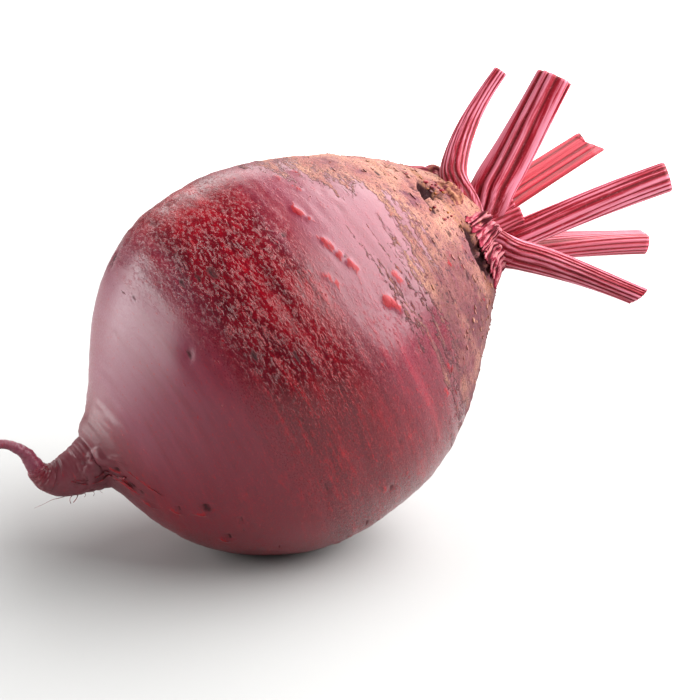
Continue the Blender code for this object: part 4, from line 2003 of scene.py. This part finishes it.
@dataclass(frozen=True)
class CorkFlakes:
    """Thin dry flakes that stand up a little from the cork round the crown."""

    count: int = 420
    seed: int = 5
    thick: float = 0.00012
    base_lift: float = 0.00002
    rim_station: float = 0.085
    sparse_station: float = 0.074
    last_station: float = 0.0905

    def build(self, skin: bpy.types.Material, root: bpy.types.Object) -> bpy.types.Object:
        """Lays flakes at random points of the root's corky skin.

        Args:
            skin: The skin's material.
            root: The finished skin, whose points carry the masks.

        Returns:
            All flakes as one piece.
        """
        chance = random.Random(self.seed)
        points, normals = points_of(root), normals_of(root)
        grown = read_rows(root.data.attributes[GROWN].data, "vector")
        corky = (mask_of(root, Mask.CORK) > 0.75) & (mask_of(root, Mask.PIT) < 0.2)
        fit = np.where(corky & (grown[:, 2] < self.last_station))[0]
        form = bmesh.new()
        hosts = []
        for _ in range(self.count):
            host = int(fit[chance.randrange(len(fit))])
            if grown[host][2] < self.sparse_station and chance.random() < 0.55:
                continue
            size = 0.6 if grown[host][2] > self.rim_station else 1.0
            normal = Vector(normals[host]).normalized()
            hosts += [host] * self.add_flake(form, chance, Vector(points[host]), normal, size)
        bmesh.ops.recalc_face_normals(form, faces=form.faces)
        mesh = bpy.data.meshes.new("cork_flakes")
        form.to_mesh(mesh)
        form.free()
        obj = bpy.data.objects.new("cork_flakes", mesh)
        bpy.context.scene.collection.objects.link(obj)
        shift = points_of(obj) - points[hosts]
        paint_skin(obj, grown[hosts] + shift, {Mask.CORK: np.full(len(hosts), 1.4)})
        dress(obj, skin, Slot.SKIN)
        obj.data.shade_flat()
        return obj

    def add_flake(
        self, form: bmesh.types.BMesh, chance: random.Random, place: Vector, normal: Vector, size: float
    ) -> int:
        """Adds one flake, longest along the latitudes.

        Args:
            form: Mesh that takes it.
            chance: Source of the random sizes.
            place: Its middle.
            normal: The skin's normal there.
            size: Its size against that of a usual flake.

        Returns:
            How many points it has.
        """
        around = normal.cross(Vector(FORM.along)).normalized()
        down = normal.cross(around).normalized()
        long = chance.uniform(0.4, 1.5) * MM * size
        wide = long * chance.uniform(0.3, 0.6)
        tilt = chance.uniform(-0.05, 0.22)
        sides = chance.randrange(5, 8)
        rim = []
        for k in range(sides):
            angle = 2 * math.pi * (k + chance.uniform(-0.25, 0.25)) / sides
            step = around * math.cos(angle) * long / 2 + down * math.sin(angle) * wide / 2
            rise = tilt * math.sin(angle) * wide
            rim.append(place + step + normal * (rise + self.base_lift))
        upper = [form.verts.new(p + normal * self.thick) for p in rim]
        lower = [form.verts.new(p - normal * self.thick) for p in rim]
        form.faces.new(upper)
        form.faces.new(lower[::-1])
        for k in range(sides):
            after = (k + 1) % sides
            form.faces.new((lower[k], lower[after], upper[after], upper[k]))
        return 2 * sides


@dataclass(frozen=True)
class HolePulp:
    """Red and amber crumbs of pulp at the edge of the holes in the shoulder."""

    count: int = 22
    seed: int = 3
    amber_share: float = 0.35
    roughness: float = 0.5
    shape: tuple[float, float, float] = (1.0, 0.8, 0.7)

    def build(self, red: bpy.types.Material, amber: bpy.types.Material) -> bpy.types.Object:
        """Adds small lumps, each a shaped sphere, and joins them.

        Args:
            red: Material of most crumbs.
            amber: Material of the others.

        Returns:
            The finished piece.
        """
        start_clean()
        chance = random.Random(self.seed)
        made = []
        for number in range(self.count):
            station, clock = chance.uniform(82.9, 86.2), chance.uniform(25, 37)
            if number % 3 == 0:
                station, clock = chance.uniform(79.6, 83.4), chance.uniform(44, 60)
            size = chance.uniform(0.28, 0.62) * MM
            place = on_root(station, clock, chance.uniform(-0.5, 0.15))
            bpy.ops.mesh.primitive_ico_sphere_add(subdivisions=2, radius=size, location=place)
            obj = bpy.context.object
            bpy.ops.object.transform_apply(location=True, rotation=True, scale=True)
            near = points_of(obj)
            swell = 1 + self.roughness * noise_at(near, (0.0006, 0.0006, 0.0006), 2, float(number))
            place_points(obj, place + (near - place) * swell[:, None] * np.array(self.shape))
            obj.data.materials.append(amber if chance.random() < self.amber_share else red)
            made.append(obj)
        obj = join_all(made, "hole_pulp")
        dress(obj, red, Slot.SKIN)
        return obj


# ----------------------------------------------------------------------------------------------
# Studio
# ----------------------------------------------------------------------------------------------


def way_to(azimuth: float, elevation: float) -> Vector:
    """Direction from the object to a light or the camera.

    Args:
        azimuth: Degrees from -Y towards +X.
        elevation: Degrees above the ground.

    Returns:
        The direction, one unit long.
    """
    turn, rise = math.radians(azimuth), math.radians(elevation)
    return Vector((math.sin(turn) * math.cos(rise), -math.cos(turn) * math.cos(rise), math.sin(rise)))


@dataclass(frozen=True)
class SoftBox:
    """A rectangular soft light that faces the object."""

    name: str
    azimuth: float
    elevation: float
    distance: float
    width: float
    height: float
    glow: float
    aim_height: float = 0.04

    def build(self) -> None:
        """Adds the light."""
        data = bpy.data.lights.new(self.name, "AREA")
        data.shape = "RECTANGLE"
        data.size, data.size_y = self.width, self.height
        data.energy = self.glow * math.pi * self.width * self.height
        way = way_to(self.azimuth, self.elevation)
        obj = bpy.data.objects.new(self.name, data)
        bpy.context.scene.collection.objects.link(obj)
        obj.location = Vector((0.0, 0.0, self.aim_height)) + way * self.distance
        obj.rotation_euler = way.to_track_quat("Z", "Y").to_euler()


@dataclass(frozen=True)
class Studio:
    """Pale floor, soft light all round and the camera."""

    azimuth: float = -24.0
    elevation: float = 18.0
    target: tuple[float, float, float] = (0.0162, -0.0057, 0.0397)
    span: float = 0.1414
    lens: float = 120.0
    sensor: float = 36.0
    clip_start: float = 0.01
    floor_size: float = 6.0
    floor_drop: float = 0.0002
    floor_color: Color = tint(178, 178, 177)
    floor_roughness: float = 0.9
    floor_specular: float = 0.1
    sky: float = 0.10
    backdrop: float = 1.0
    fade: tuple[float, float] = (0.20, 0.37)
    boxes: tuple[SoftBox, ...] = (
        SoftBox("right_box", 80.0, 44.0, distance=0.62, width=1.30, height=0.78, glow=7.2),
        SoftBox("left_box", -119.0, 9.0, distance=0.38, width=0.42, height=0.24, glow=5.6),
        SoftBox("back_box", 162.0, 24.0, distance=0.80, width=0.60, height=0.34, glow=2.8),
    )

    def build(self) -> None:
        """Adds the floor, the lights, the world and the camera."""
        self.build_floor()
        for box in self.boxes:
            box.build()
        self.build_world()
        bpy.context.scene.view_settings.view_transform = "Standard"
        self.build_camera()

    def build_world(self) -> None:
        """Adds a dim sky, seen as a plain pale backdrop."""
        world = bpy.data.worlds.new("soft_white")
        bpy.context.scene.world = world
        world.use_nodes = True
        nodes, links = world.node_tree.nodes, world.node_tree.links
        level = nodes.new("ShaderNodeMapRange")
        level.inputs["To Min"].default_value = self.sky
        level.inputs["To Max"].default_value = self.backdrop
        seen = nodes.new("ShaderNodeLightPath").outputs["Is Camera Ray"]
        links.new(seen, level.inputs["Value"])
        links.new(level.outputs[0], nodes["Background"].inputs["Strength"])
        nodes["Background"].inputs["Color"].default_value = WHITE

    def build_floor(self) -> None:
        """Adds a plain pale floor that fades into the backdrop."""
        start_clean()
        bpy.ops.mesh.primitive_plane_add(size=self.floor_size, location=(0, 0, -self.floor_drop))
        floor = bpy.context.object
        floor.name = "floor"
        r = Recipe("pale_floor")
        place = r.add("ShaderNodeTexCoord", {}).outputs["Object"]
        reach = r.add("ShaderNodeVectorMath", {0: place}, operation="LENGTH").outputs["Value"]
        seen = r.add("ShaderNodeLightPath", {}).outputs["Is Camera Ray"]
        glow = r.times(r.ease(reach, *self.fade, 0.0, self.backdrop), seen)
        r.feed(r.shader, {"Emission Strength": glow, "Emission Color": WHITE})
        material = r.finish(self.floor_color, self.floor_roughness, None, self.floor_specular)
        floor.data.materials.append(material)

    def build_camera(self) -> None:
        """Adds the camera at its angle and distance from the target."""
        data = bpy.data.cameras.new("camera")
        data.lens = self.lens
        data.sensor_width = self.sensor
        data.clip_start = self.clip_start
        back = way_to(self.azimuth, self.elevation)
        camera = bpy.data.objects.new("camera", data)
        bpy.context.scene.collection.objects.link(camera)
        camera.location = Vector(self.target) + back * (self.span * self.lens / self.sensor)
        camera.rotation_euler = back.to_track_quat("Z", "Y").to_euler()
        bpy.context.scene.camera = camera


def main() -> None:
    """Builds the pieces in order and reports each one."""
    logging.basicConfig(level=logging.INFO, format="%(message)s")
    Studio().build()
    skin, stalk_skin = SkinFinish().material(), StalkFinish().material()
    flesh, tissue = FleshFinish().material(), TornFinish().material()
    red = RootletFinish().material()
    amber = RootletFinish("amber_pulp", tint(176, 106, 40), tint(120, 40, 24)).material()
    root = RootSkin().build(skin)
    pieces = [root, ThinTaproot().build(skin), Rootlets().build(red)]
    pieces += [CorkFlakes().build(skin, root), HolePulp().build(red, amber)]
    pieces += [stalk.build(stalk_skin, flesh) for stalk in STALKS + HEART_STUBS]
    pieces += [base.build(tissue) for base in TORN_BASES]
    for piece in pieces:
        triangles = sum(len(face.vertices) - 2 for face in piece.data.polygons)
        LOG.info("%s: %d triangles", piece.name, triangles)


if __name__ == "__main__":
    main()
